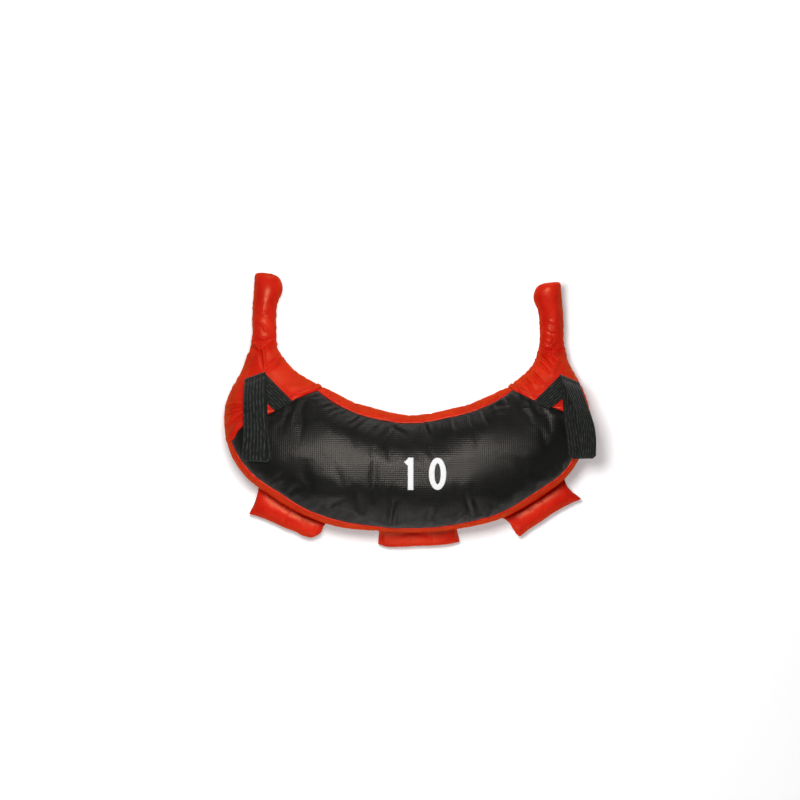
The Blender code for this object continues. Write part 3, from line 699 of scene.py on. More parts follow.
def puckers(stations, seed, spacing, width):
    """Uneven gathers along a seam, from minus one in a valley to plus one on a ridge."""
    picker = random.Random(seed)
    field = np.zeros_like(stations)
    place = stations.min() - spacing
    while place < stations.max() + spacing:
        size = picker.uniform(*gather_sizes)
        spread = width * picker.uniform(*gather_widths)
        offset = (stations - place) / spread
        valley = np.exp(-((offset - gather_valley_place) / gather_valley_width) ** 2)
        field += size * (np.exp(-offset ** 2) - gather_valley_depth * valley)
        place += spacing * picker.uniform(*gather_spacings)
    return field


def seam_gathers(column, seed, spacing, width, height, reach_after, reach_before, span):
    """Gathers that start at a seam along the bag and fade into the panels on both sides."""
    offset = from_ring_seam(column)
    stations = along[:, column:column + 1] + gather_lean * offset
    field = puckers(stations, seed, spacing, width)
    reach = np.where(offset > 0, reach_after, reach_before)
    distance = abs(offset)
    fade = np.exp(-(distance / reach) ** gather_fade_power) * (1 - np.exp(-distance / gather_start))
    return height * field * fade * row_window(*span)[:, None]


def line_distance(corners):
    """Distance of each point from a line seen from above, its side, and how far along it is."""
    plan = smooth_points[:, :, :2]
    nearest = np.full(plan.shape[:2], 1.0)
    share = np.zeros(plan.shape[:2])
    side = np.zeros(plan.shape[:2])
    total = sum(np.linalg.norm(end - start) for start, end in zip(corners, corners[1:]))
    done = 0.0
    for start, end in zip(corners, corners[1:]):
        heading = end - start
        length = np.linalg.norm(heading)
        reach = np.clip(((plan - start) @ heading) / length ** 2, 0, 1)
        gap = plan - (start + reach[:, :, None] * heading)
        distance = np.linalg.norm(gap, axis=2)
        closer = distance < nearest
        nearest = np.where(closer, distance, nearest)
        turn = (heading[0] * gap[:, :, 1] - heading[1] * gap[:, :, 0]) / length
        side = np.where(closer, turn, side)
        share = np.where(closer, (done + reach * length) / total, share)
        done += length
    return nearest, side, share


def fold(pixels, height, width):
    """A fold line pressed into the upper side: a ridge, with a valley on its right."""
    nearest, side, share = line_distance([at_pixel(pixel) for pixel in pixels])
    from_end = np.clip(fold_end_height + (1 - 2 * fold_end_height) * share, 0, 1)
    taper = np.sin(np.pi * from_end) ** fold_end_power
    ends = np.exp(-((nearest - abs(side)).clip(0) / width) ** 2)
    ridge = np.exp(-(side / width) ** 2)
    valley = np.exp(-((side + fold_valley_place * width) / (fold_valley_width * width)) ** 2)
    upper = smooth_step(normals[:, :, 2] * fold_side_fade)
    return height * taper * ends * (ridge - fold_valley_depth * valley) * upper


def undulation(size, seed):
    """Slow swells of the stuffing under the vinyl, from minus one to one."""
    shift = seed * Vector(swell_shift)
    flat = smooth_points.reshape(-1, 3) / size
    values = [noise.noise(Vector(point) + shift) for point in flat]
    return np.array(values).reshape(smooth_points.shape[:2])


def strap_rest_mask():
    """One where a strap's sewn leg lies on the wing, and zero away from it."""
    mask = np.zeros(smooth_points.shape[:2])
    for shares in (left_strap_shares, right_strap_shares):
        corners = [np.array(corner) * (body_half_width, bag_reach)
                   for corner in (*shares["fold"], *shares["sewn"])]
        fold_middle = (corners[0] + corners[1]) / 2
        sewn_middle = (corners[2] + corners[3]) / 2
        distance, _, _ = line_distance([fold_middle, sewn_middle])
        near = smooth_step((strap_rest_reach - distance) / strap_rest_fade) * (normals[:, :, 2] > 0)
        mask = np.maximum(mask, near)
    return mask


def relief():
    """The height of the vinyl over the smooth skin at each point of the grid."""
    body = (rows >= left_seam_row) & (rows <= right_seam_row)
    on_body = body[:, None].astype(float)
    height = sum(size * undulation(reach, seed) for size, reach, seed in stuffing_swells)
    crown = np.clip(1 - abs(2 * places - 1) ** crown_power, 0, 1) * (places <= 1)
    middle = row_window(left_seam_row, right_seam_row, crown_rise_rows)
    height += crown_bulge * crown[None, :] * middle[:, None]
    for gathers in body_gathers:
        height += seam_gathers(*gathers, body_gather_span)
    for gathers in wing_gathers:
        for span in wing_gather_spans:
            height += seam_gathers(*gathers, *wing_gather_sizes, span)
    for pixels, size, width in left_neck_folds + right_neck_folds:
        height += neck_fold_gain * fold(pixels, size, width)
    for pixels, size, width in panel_folds:
        height += panel_fold_gain * fold(pixels, size, width)
    for row_index in (left_seam, right_seam):
        distance = from_cross_seam(row_index)
        outside = distance if row_index == right_seam else -distance
        hem = smooth_step(outside / hem_rise) * smooth_step((hem_width - outside) / hem_fall)
        groove = np.exp(-((outside - hem_width) / hem_groove_width) ** 2)
        height += hem_height * hem - hem_groove * groove
        height -= seam_dip * np.exp(-(distance / seam_reach) ** 2)
    for column, gusset_side in ((0, -1), (outer_seam, 1), (back_outer_seam, -1), (back_inner_seam, 1)):
        distance = from_ring_seam(column)
        height -= on_body * seam_dip * np.exp(-(distance / seam_reach) ** 2)
        beside = (distance * gusset_side - seam_ridge_place) / seam_ridge_width
        height += on_body * seam_ridge * np.exp(-beside ** 2)
    for column in wing_side_seams:
        distance = from_ring_seam(column)
        height -= (1 - on_body) * wing_seam_share * seam_dip * np.exp(-(distance / seam_reach) ** 2)
    height *= row_window(-handle_row_count, last_row + handle_row_count, tip_fade_rows)[:, None]
    rested = strap_rest_mask()
    height = height * (1 - rested) - strap_rest_dent * rested
    return np.maximum(height, -dent_limit[:, None])


# Cloth

def settle(piece, held, pressure, shrink, frame_count, cap):
    """Inflates a piece as cloth, with its seams held, and keeps each point within a cap."""
    scene = bpy.context.scene
    group = piece.vertex_groups.new(name="seams")
    group.add(held, 1.0, "REPLACE")
    cloth_modifier = piece.modifiers.new("inflate", "CLOTH")
    settings = cloth_modifier.settings
    settings.vertex_group_mass = "seams"
    settings.quality = cloth_quality
    settings.use_pressure = True
    settings.uniform_pressure_force = pressure
    settings.shrink_min = shrink
    settings.bending_stiffness = cloth_bending
    settings.effector_weights.gravity = 0
    cloth_modifier.collision_settings.use_collision = False
    cloth_modifier.point_cache.frame_end = frame_count
    before = np.array([tuple(vertex.co) for vertex in piece.data.vertices])
    for step in range(1, frame_count + 1):
        scene.frame_set(step)
    evaluated = piece.evaluated_get(bpy.context.evaluated_depsgraph_get())
    after = np.array([tuple(vertex.co) for vertex in evaluated.data.vertices])
    piece.modifiers.clear()
    piece.vertex_groups.clear()
    scene.frame_set(1)
    moved = after - before
    length = np.linalg.norm(moved, axis=1, keepdims=True)
    moved *= np.minimum(1, cap / np.maximum(length, 1e-9))
    piece.data.vertices.foreach_set("co", (before + moved).ravel())
    piece.data.update()


def settled_shift(points):
    """How the vinyl moves when it is inflated as cloth, cut a little large, with its seams held."""
    last = len(rows) - 1
    chosen = sorted({*range(0, last, skin_cloth_step), left_seam, right_seam, last})
    columns = list(range(0, ring_count, skin_cloth_step))
    coarse = points[chosen][:, columns]
    skin = mesh_object("skin_cloth", coarse.reshape(-1, 3), grid_faces(len(chosen), len(columns), True))
    body_seams = {0, outer_seam, back_outer_seam, back_inner_seam}
    held = []
    for line, row_index in enumerate(chosen):
        on_body = left_seam <= row_index <= right_seam
        near_tip = min(row_index, last - row_index) < skin_held_tip
        whole_ring = row_index in (left_seam, right_seam) or near_tip
        seams = body_seams if on_body else wing_side_seams
        held += [
            line * len(columns) + place for place, column in enumerate(columns)
            if whole_ring or column in seams]
    before = coarse.reshape(-1, 3)
    settle(skin, held, skin_pressure, skin_shrink, skin_cloth_frames, skin_cloth_cap)
    after = np.array([tuple(vertex.co) for vertex in skin.data.vertices])
    bpy.data.objects.remove(skin)
    moved = (after - before).reshape(coarse.shape)
    wide = np.concatenate((moved, moved[:, :1]), axis=1)
    made = np.zeros_like(points)
    for axis in range(3):
        along_rows = np.array([
            np.interp(np.arange(len(rows)), chosen, wide[:, column, axis])
            for column in range(wide.shape[1])])
        made[:, :, axis] = np.array([
            np.interp(np.arange(ring_count), columns + [ring_count], line) for line in along_rows.T])
    return made


# Dents are shallower in the wings, where the stuffing lies close under the vinyl
in_wing = row_window(wing_dent_margin, last_row - wing_dent_margin, dent_fade_rows)
in_wing *= 1 - row_window(
    left_seam_row + panel_dent_margin, right_seam_row - panel_dent_margin, dent_fade_rows)
dent_limit = mix(deepest_dent, wing_dent, in_wing)
heights = relief()
cover_points = smooth_points + normals * heights[:, :, None]
cover_points += settled_shift(cover_points)
heights = ((cover_points - smooth_points) * normals).sum(axis=2)
heights = np.maximum(highest_bulge * np.tanh(heights / highest_bulge), -dent_limit[:, None])
cover_points = smooth_points + normals * heights[:, :, None]
cover_points[:, :, 2] = np.maximum(cover_points[:, :, 2], 0)


def cloth_places():
    """Where each point was on the flat cuts of the front and the back, which meet in the gussets."""
    outline = outline_at(bent_rows)
    middle = (outline[..., 0:2] + outline[..., 2:4]) / 2
    heading = outline[..., 2:4] - outline[..., 0:2]
    heading /= np.linalg.norm(heading, axis=2, keepdims=True)
    crown = around[:, front_strip_count // 2:front_strip_count // 2 + 1]
    back_crown = around[:, back_outer_seam + back_strip_count // 2][:, None]
    on_back = (places >= 1.5) & (places < 3.5)
    offset = np.where(on_back[None, :], back_crown - around, around - crown)
    flat = middle + heading * offset[:, :, None]
    return np.concatenate((flat, offset[:, :, None]), axis=2)


cloth = cloth_places()


# Pieces of the cover

def cover_piece(panel, first_seam, last_seam, finish):
    """A panel of the cover between the wings, cut from the grid between two of its seams."""
    columns = [column % ring_count for column in range(first_seam, last_seam + 1)]
    points = cover_points[left_seam:right_seam + 1][:, columns].reshape(-1, 3)
    cuts = cloth[left_seam:right_seam + 1][:, columns].reshape(-1, 3)
    faces = grid_faces(right_seam + 1 - left_seam, len(columns))
    piece = mesh_object(panel + "_cover", points, faces, [("cloth", cuts)])
    finish_cover(piece, finish, [panel])
    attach(piece, "bag_body")
    return piece


def finish_cover(piece, finish, replaced):
    """Material, thickness and the nodes that a piece of the cover stands for."""
    piece.data.materials.append(finish)
    shell = piece.modifiers.new("thickness", "SOLIDIFY")
    shell.thickness = vinyl_thickness
    shell.offset = -1
    apply_modifiers(piece)
    for vertex in piece.data.vertices:
        vertex.co.z = max(vertex.co.z, 0)
    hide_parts(*replaced)


def apply_modifiers(piece):
    """Turns a piece's modifiers into its mesh."""
    graph = bpy.context.evaluated_depsgraph_get()
    made = bpy.data.meshes.new_from_object(piece.evaluated_get(graph))
    piece.modifiers.clear()
    piece.data = made


def wing_piece(side):
    """One wing with its neck and handle, closed at the tip."""
    if side == "left":
        rings = cover_points[:left_seam + 1][::-1]
        cuts = cloth[:left_seam + 1][::-1]
        faces = [face[::-1] for face in grid_faces(len(rings), ring_count, closed=True)]
    else:
        rings = cover_points[right_seam:]
        cuts = cloth[right_seam:]
        faces = grid_faces(len(rings), ring_count, closed=True)
    points = list(rings.reshape(-1, 3))
    values = list(cuts.reshape(-1, 3))
    tip = len(points)
    points.append(rings[-1].mean(axis=0))
    values.append(cuts[-1].mean(axis=0))
    last = tip - ring_count
    for column in range(ring_count):
        face = (last + column, last + (column + 1) % ring_count, tip)
        faces.append(face if side == "right" else face[::-1])
    piece = mesh_object(side + "_wing_cover", points, faces, [("cloth", values)])
    replaced = [side + "_wing_front", side + "_wing_back", side + "_handle_sleeve"]
    finish_cover(piece, red_vinyl_finish, replaced)
    bend_at_neck(piece)
    return piece


def bend_at_neck(piece):
    """Bakes a piece's transform into its mesh, as blend_at_hinge does."""
    blend_at_hinge(piece)


def blend_at_hinge(piece):
    """Bakes a piece's transform into its mesh."""
    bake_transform(piece)


def neck_stuffing(side):
    """The textile that fills a neck and its handle, inside the cover."""
    depth = deepest_dent + vinyl_thickness + stuffing_depth
    if side == "left":
        first = int(np.argmin(abs(rows - stuffing_first_row)))
        chosen = range(first, stuffing_tip_rows, -stuffing_thinning)
    else:
        first = int(np.argmin(abs(rows - (last_row - stuffing_first_row))))
        chosen = range(first, len(rows) - stuffing_tip_rows, stuffing_thinning)
    rings = [
        (smooth_points[index] - normals[index] * depth)[::stuffing_thinning] for index in chosen]
    faces = tube_faces(len(rings), len(rings[0]))
    piece = mesh_object(side + "_neck_stuffing", np.concatenate(rings), faces)
    outward_faces(piece)
    piece.data.materials.append(textile_mixed)
    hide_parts(side + "_neck_roll", side + "_handle_core")
    bend_at_neck(piece)


# Materials

class Finish:
    """A material under construction, with short calls for the nodes that it needs."""

    def __init__(self, name, distribution="GGX", **shader_values):
        self.material = bpy.data.materials.new(name)
        self.material.use_nodes = True
        self.tree = self.material.node_tree
        self.shader = self.tree.nodes["Principled BSDF"]
        self.shader.distribution = distribution
        self.bump_chain = None
        self.fill(self.shader, shader_values)

    def put(self, value, socket):
        """Links a result to a socket, or sets the socket's own value."""
        if isinstance(value, bpy.types.NodeSocket):
            self.tree.links.new(value, socket)
        else:
            socket.default_value = value

    def fill(self, node, values):
        """Sets or links a node's inputs, by their names."""
        for key, value in values.items():
            self.put(value, node.inputs[key.replace("_", " ")])

    def node(self, kind, **values):
        """A new node, with its named inputs set or linked."""
        made = self.tree.nodes.new("ShaderNode" + kind)
        self.fill(made, values)
        return made

    def math(self, operation, *values):
        """A math node's result."""
        made = self.node("Math")
        made.operation = operation
        for value, socket in zip(values, made.inputs):
            self.put(value, socket)
        return made.outputs[0]

    def coordinates(self, attribute=None):
        """The place on the surface, in metres: an attribute's, or the piece's own."""
        if attribute:
            made = self.node("Attribute")
            made.attribute_name = attribute
            return made.outputs["Vector"]
        return self.node("TexCoord").outputs["Object"]

    def noise(self, vector, size, detail=2.0, roughness=0.5):
        """Noise with features of this size, in metres."""
        made = self.node("TexNoise", Vector=vector, Scale=1 / size, Detail=detail, Roughness=roughness)
        return made.outputs["Fac"]

    def spread(self, value, start, end, from_start=0.0, from_end=1.0):
        """A value between two others, moved to lie between the start and the end."""
        made = self.node(
            "MapRange", Value=value, From_Min=from_start, From_Max=from_end, To_Min=start, To_Max=end)
        return made.outputs["Result"]

    def ramp(self, factor, stops):
        """Colours along a factor."""
        made = self.node("ValToRGB", Fac=factor)
        elements = made.color_ramp.elements
        elements[0].position, elements[0].color = stops[0]
        elements[1].position, elements[1].color = stops[-1]
        for place, colour in stops[1:-1]:
            elements.new(place).color = colour
        return made.outputs["Color"]

    def duller_at_edges(self, roughness):
        """Less gloss at a grazing angle, where an embossed vinyl shadows itself."""
        edge = self.node("LayerWeight", Blend=0.5)
        grazing = self.math("POWER", edge.outputs["Facing"], 2.0)
        return self.math("MAXIMUM", self.math("MULTIPLY", grazing, grazing_roughness), roughness)

    def wave(self, kind, coordinate, length):
        """A wave of this length along a coordinate."""
        return self.math(kind, self.math("MULTIPLY", coordinate, 2 * math.pi / length))

    def bump(self, height, distance, strength):
        """Adds relief to the shading, on top of what is there."""
        made = self.node("Bump", Strength=strength, Distance=distance, Height=height)
        if self.bump_chain:
            self.put(self.bump_chain, made.inputs["Normal"])
        self.bump_chain = made.outputs["Normal"]
        self.link(self.bump_chain, "Normal")

    def link(self, output, name):
        """Links a result to one of the shader's inputs."""
        self.tree.links.new(output, self.shader.inputs[name])


def grey(value):
    """An opaque grey."""
    return (value, value, value, 1.0)


def red_vinyl():
    """Coated vinyl: semi-gloss, with a fine grain, under a thin layer that tints what it reflects."""
    finish = Finish(
        "red_vinyl", Roughness=0.40, Specular_IOR_Level=0.27, Coat_Weight=1.0, Coat_IOR=1.05,
        Coat_Roughness=0.9, Coat_Tint=(1.0, 0.58, 0.30, 1.0))
    place = finish.coordinates()
    cloud = finish.noise(place, size=0.030, detail=3.0)
    finish.link(finish.ramp(cloud, [
        (0.30, (0.520, 0.018, 0.018, 1.0)),
        (0.52, (0.600, 0.028, 0.024, 1.0)),
        (0.75, (0.670, 0.042, 0.032, 1.0)),
    ]), "Base Color")
    smudge = finish.noise(place, size=0.012, detail=4.0, roughness=0.6)
    finish.link(finish.spread(smudge, 0.31, 0.42), "Roughness")
    grain = finish.node("TexVoronoi", Vector=place, Scale=1 / vinyl_grain)
    finish.bump(grain.outputs["Distance"], distance=0.00005, strength=0.5)
    finish.bump(finish.noise(place, size=0.0045, detail=3.0), distance=0.0002, strength=0.5)
    return finish.material


def scrim_lines(finish, coordinate):
    """The raised threads of the scrim across one direction of the cloth."""
    lifted = finish.math("MULTIPLY_ADD", finish.wave("COSINE", coordinate, scrim_pitch), 0.5, 0.5)
    return finish.math("POWER", lifted, scrim_line_power)


def black_vinyl():
    """Vinyl over an open scrim, whose square mesh shows as fine raised lines."""
    finish = Finish(
        "black_scrim_vinyl", Roughness=0.38, Specular_IOR_Level=0.16,
        Specular_Tint=(1.0, 0.92, 0.84, 1.0))
    place = finish.coordinates("cloth")
    split = finish.node("SeparateXYZ", Vector=place)
    drift = finish.math("MULTIPLY", finish.noise(place, size=0.020), scrim_wander)
    lines_x, lines_y = [
        scrim_lines(finish, finish.math("ADD", split.outputs[axis], drift)) for axis in ("X", "Y")]
    lattice = finish.math("MAXIMUM", lines_x, lines_y)
    patchy = finish.noise(place, size=0.045, detail=3.0)
    shown = finish.spread(patchy, 0.45, 1.0, from_start=0.35, from_end=0.65)
    weave = finish.math("MULTIPLY", lattice, shown)
    finish.link(finish.ramp(weave, [
        (0.0, (0.0036, 0.0040, 0.0042, 1.0)),
        (1.0, (0.0165, 0.0162, 0.0150, 1.0)),
    ]), "Base Color")
    finish.link(finish.duller_at_edges(finish.spread(weave, 0.36, 0.28)), "Roughness")
    finish.bump(lattice, distance=0.00016, strength=0.8)
    creases = finish.noise(finish.coordinates(), size=0.006, detail=3.0)
    finish.bump(creases, distance=0.00025, strength=0.5)
    return finish.material


def webbing_finish():
    """Woven webbing: lengthwise ribs of short slanted floats, dark, with rib crests lighter in streaks,
    partly as worn thread and partly as a painted highlight, and painted shade between the ribs.
    """
    finish = Finish(
        "black_webbing", Roughness=0.80, Specular_IOR_Level=0.15, Sheen_Weight=0.08,
        Sheen_Roughness=0.5)
    place = finish.coordinates("cloth")
    split = finish.node("SeparateXYZ", Vector=place)
    across = split.outputs["X"]
    slanted = finish.math("ADD", split.outputs["Y"], finish.math("MULTIPLY", across, float_slant))
    floats = finish.wave("SINE", slanted, float_length)
    strand = finish.wave("COSINE", across, strand_pitch)
    woven = finish.math("MULTIPLY", floats, strand)
    weave = finish.math("MULTIPLY_ADD", woven, weave_contrast, 0.5)
    drift = finish.math("MULTIPLY_ADD", finish.noise(place, size=0.018), rib_wander, across)
    # Colour by rib: the rib crests are painted lighter in worn streaks and the valleys between them
    # darker. This is partly worn thread and partly painted highlight and painted shade.
    ribs = finish.math("ABSOLUTE", finish.wave("SINE", drift, 2 * webbing_width / webbing_rib_count))
    streaks = finish.node("Mapping", Vector=place, Scale=streak_scale)
    streak = finish.noise(streaks.outputs["Vector"], size=1.0)
    worn = finish.spread(streak, 0.12, 0.95, from_start=0.38, from_end=0.66)
    worn_and_painted_rib_crests = finish.math("MULTIPLY", finish.math("POWER", ribs, 2.0), worn)
    weave_and_painted_rib_crests = finish.math("MULTIPLY_ADD", weave, weave_share, worn_and_painted_rib_crests)
    clouded = finish.math("MULTIPLY_ADD", finish.noise(place, size=0.006), cloud_share, weave_and_painted_rib_crests)
    finish.link(finish.ramp(clouded, [
        (0.20, (0.0030, 0.0038, 0.0034, 1.0)),
        (0.60, (0.0095, 0.0110, 0.0096, 1.0)),
        (0.95, (0.0420, 0.0450, 0.0390, 1.0)),
    ]), "Base Color")
    finish.bump(weave, distance=0.00022, strength=0.9)
    return finish.material


def film_finish():
    """Printed film: matt white, a little thinned over the scrim."""
    finish = Finish("white_film", Roughness=0.55, Specular_IOR_Level=0.4)
    place = finish.coordinates()
    worn = finish.noise(place, size=0.0022, detail=4.0, roughness=0.7)
    whites = [(0.30, grey(0.66)), (0.50, grey(0.80)), (1.0, grey(0.84))]
    finish.link(finish.ramp(worn, whites), "Base Color")
    finish.bump(finish.noise(place, size=0.0012), distance=0.0001, strength=0.6)
    return finish.material


def fibre_finish(name, dark, light, size):
    """A matt fibrous filling, such as felt, canvas or packed textile."""
    finish = Finish(name, Roughness=0.95, Specular_IOR_Level=0.2)
    fibres = finish.noise(finish.coordinates(), size, detail=5.0, roughness=0.7)
    finish.link(finish.ramp(fibres, [(0.35, dark), (0.70, light)]), "Base Color")
    finish.bump(fibres, distance=size / 8, strength=0.8)
    return finish.material


def thread_finish(name, colour):
    """Sewing thread: a fine twist along the stitch."""
    finish = Finish(name, Roughness=0.60, Specular_IOR_Level=0.35)
    twist = finish.noise(finish.coordinates(), size=0.0004)
    dim = tuple(channel * 0.6 for channel in colour[:3]) + (1.0,)
    finish.link(finish.ramp(twist, [(0.3, dim), (0.7, colour)]), "Base Color")
    finish.bump(twist, distance=0.00008, strength=0.7)
    return finish.material


red_vinyl_finish = red_vinyl()
black_vinyl_finish = black_vinyl()
webbing_black = webbing_finish()
film_white = film_finish()
felt_grey = fibre_finish("grey_felt", (0.15, 0.145, 0.14, 1.0), (0.30, 0.29, 0.28, 1.0), 0.002)
canvas_beige = fibre_finish("beige_canvas", (0.34, 0.27, 0.17, 1.0), (0.50, 0.42, 0.29, 1.0), 0.001)
textile_mixed = fibre_finish("packed_textile", (0.18, 0.19, 0.22, 1.0), (0.42, 0.42, 0.46, 1.0), 0.004)
foam_cream = fibre_finish("cream_foam", (0.60, 0.52, 0.33, 1.0), (0.78, 0.70, 0.50, 1.0), 0.0015)
red_thread = thread_finish("red_thread", (0.42, 0.012, 0.010, 1.0))


# The bag's cover, and the stuffing of its necks

panel_covers = {
    panel: cover_piece(panel, first_seam, last_seam, finish)
    for panel, first_seam, last_seam, finish, slot_name in (
        ("front_panel", 0, outer_seam, black_vinyl_finish, "vinyl_black"),
        ("outer_gusset", outer_seam, back_outer_seam, red_vinyl_finish, "vinyl_red"),
        ("back_panel", back_outer_seam, back_inner_seam, black_vinyl_finish, "vinyl_black"),
        ("inner_gusset", back_inner_seam, ring_count, red_vinyl_finish, "vinyl_red"),
    )}
wing_covers = {side: wing_piece(side) for side in ("left", "right")}
for side in ("left", "right"):
    neck_stuffing(side)


# Surfaces to lay things on

def surface_tree(pieces):
    """The surfaces of some pieces, to measure heights on."""
    vertices = []
    polygons = []
    for piece in pieces:
        start = len(vertices)
        vertices += [vertex.co.copy() for vertex in piece.data.vertices]
        polygons += [[start + index for index in face.vertices] for face in piece.data.polygons]
    return BVHTree.FromPolygons(vertices, polygons)


def top_height(tree, x, y, reach=0.0):
    """The highest point of the surface within reach of a place, or None where there is none."""
    heights_found = []
    offsets = (-reach, 0, reach) if reach else (0,)
    for step_x in offsets:
        for step_y in offsets:
            above = Vector((x + step_x, y + step_y, 2 * body_thickness))
            hit = tree.ray_cast(above, Vector((0, 0, -1)))[0]
            if hit is not None:
                heights_found.append(hit.z)
    return max(heights_found) if heights_found else None


# Straps

def plan_point(shares):
    """A place seen from above, from its shares of the outline's size."""
    return Vector((shares[0] * body_half_width, shares[1] * bag_reach, 0))


def rib_height(width_share):
    """How far the webbing's ribs stand out at a place across its width."""
    edge = min(width_share, 1 - width_share)
    rounded = min(edge / webbing_edge_share, 1) ** 0.5
    wave = abs(math.cos(math.pi * width_share * webbing_rib_count + math.pi / 2))
    return webbing_rib_height * wave ** webbing_rib_power * rounded - webbing_edge_drop * (1 - rounded)


def running_lengths(path):
    """Distance along a path of places and heights."""
    total = [0.0]
    for before, after in zip(path, path[1:]):
        total.append(total[-1] + math.dist(before[:2], after[:2]))
    return total


def arc(centre, radii, start, sweep, shares, layers):
    """Points of a path on an arc round a centre, from its start angle on, between two layers."""
    points = []
    for share in shares:
        angle = start + sweep * share
        along_here = centre[0] + radii[0] * math.cos(angle)
        height = centre[1] + radii[1] * math.sin(angle)
        points.append((along_here, height, mix(*layers, share)))
    return points


def webbing_band(name, path, place_at):
    """A ribbed band along a path of places along, heights and layers."""
    width_shares = [step / webbing_steps_across for step in range(webbing_steps_across + 1)]
    lengths = running_lengths(path)
    vertices = []
    values = []
    for index, (along_here, height, layer) in enumerate(path):
        before = path[max(index - 1, 0)]
        after = path[min(index + 1, len(path) - 1)]
        tangent = Vector((after[0] - before[0], after[1] - before[1])).normalized()
        normal = Vector((-tangent.y, tangent.x))
        for sign, shares in ((-1, width_shares), (1, width_shares[::-1])):
            for share in shares:
                offset = normal * sign * (webbing_thickness / 2 + rib_height(share))
                point = place_at(layer, share, along_here + offset.x)
                point.z = point.z + height + offset.y
                vertices.append(point)
                values.append((share * webbing_width, lengths[index], 0))
    faces = tube_faces(len(path), 2 * len(width_shares))
    piece = mesh_object(name, vertices, faces, [("cloth", values)])
    outward_faces(piece)
    piece.data.set_sharp_from_angle(angle=webbing_sharp_angle)
    piece.data.materials.append(webbing_black)
    return piece


def strap_axis(side, shares):
    """The fold line's two ends on the joint's axis, the outer side first."""
    pivot, axis = pivot_of(side + "_loop_lift")
    ends = []
    for corner in shares["fold"]:
        reach = (plan_point(corner).x - pivot.x) / axis.x
        ends.append(pivot + axis * reach)
    return ends


def strap_leg(side, shares, tree):
    """The doubled leg, from its sewn end up to the fold and back over itself."""
    axis_ends = strap_axis(side, shares)
    sewn_ends = [
        mix(end, plan_point(corner), leg_overrun) for end, corner in zip(axis_ends, shares["sewn"])]
    middle = (axis_ends[0] + axis_ends[1]) / 2
    sewn_middle = (sewn_ends[0] + sewn_ends[1]) / 2
    length = (sewn_middle - middle).to_2d().length
    slope = axis_ends[1].z - axis_ends[0].z

    def place_at(_, share, along_here):
        """A place on the wing under the leg, with the wing's height there, for either layer."""
        near = mix(axis_ends[0], axis_ends[1], share).to_2d()
        far = mix(sewn_ends[0], sewn_ends[1], share).to_2d()
        flat = mix(near, far, along_here / length)
        along_share = min(max(along_here / length, leg_bed_margin), 1 - leg_bed_margin)
        inside = mix(near, far, along_share)
        low = top_height(tree, inside.x, inside.y)
        on_axis = middle.z + slope * (share - 0.5) - strap_fold_radius - strap_clearance
        low = mix(on_axis, low, smooth_step(along_here / leg_settle_reach))
        under_hem = smooth_step((along_here - length + leg_sink_reach) / leg_sink_reach)
        return Vector((flat.x, flat.y, low - leg_sink * under_hem))

    fold_reach = strap_fold_radius - half_layer
    path = []
    for step in range(leg_steps, 0, -1):
        path.append((mix(fold_set_in, length, step / leg_steps), strap_clearance + half_layer, 0))
    path += arc(
        (fold_set_in, strap_clearance + strap_fold_radius), (fold_reach, fold_reach),
        -math.pi / 2, -math.pi, [step / leg_fold_steps for step in range(leg_fold_steps + 1)], (0, 0))
    lifted = 2 * strap_fold_radius - half_layer
    pressed = 3 * half_layer + layer_gap
    for step in range(1, leg_steps + 1):
        share = step / leg_steps
        height = strap_clearance + mix(lifted, pressed, smooth_step(share / leg_meeting_share))
        path.append((mix(fold_set_in, length, share), height, 1))
    piece = webbing_band(side + "_strap_leg", path, place_at)
    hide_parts(side + "_strap_anchor")
    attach(piece, "bag_body")
    return piece


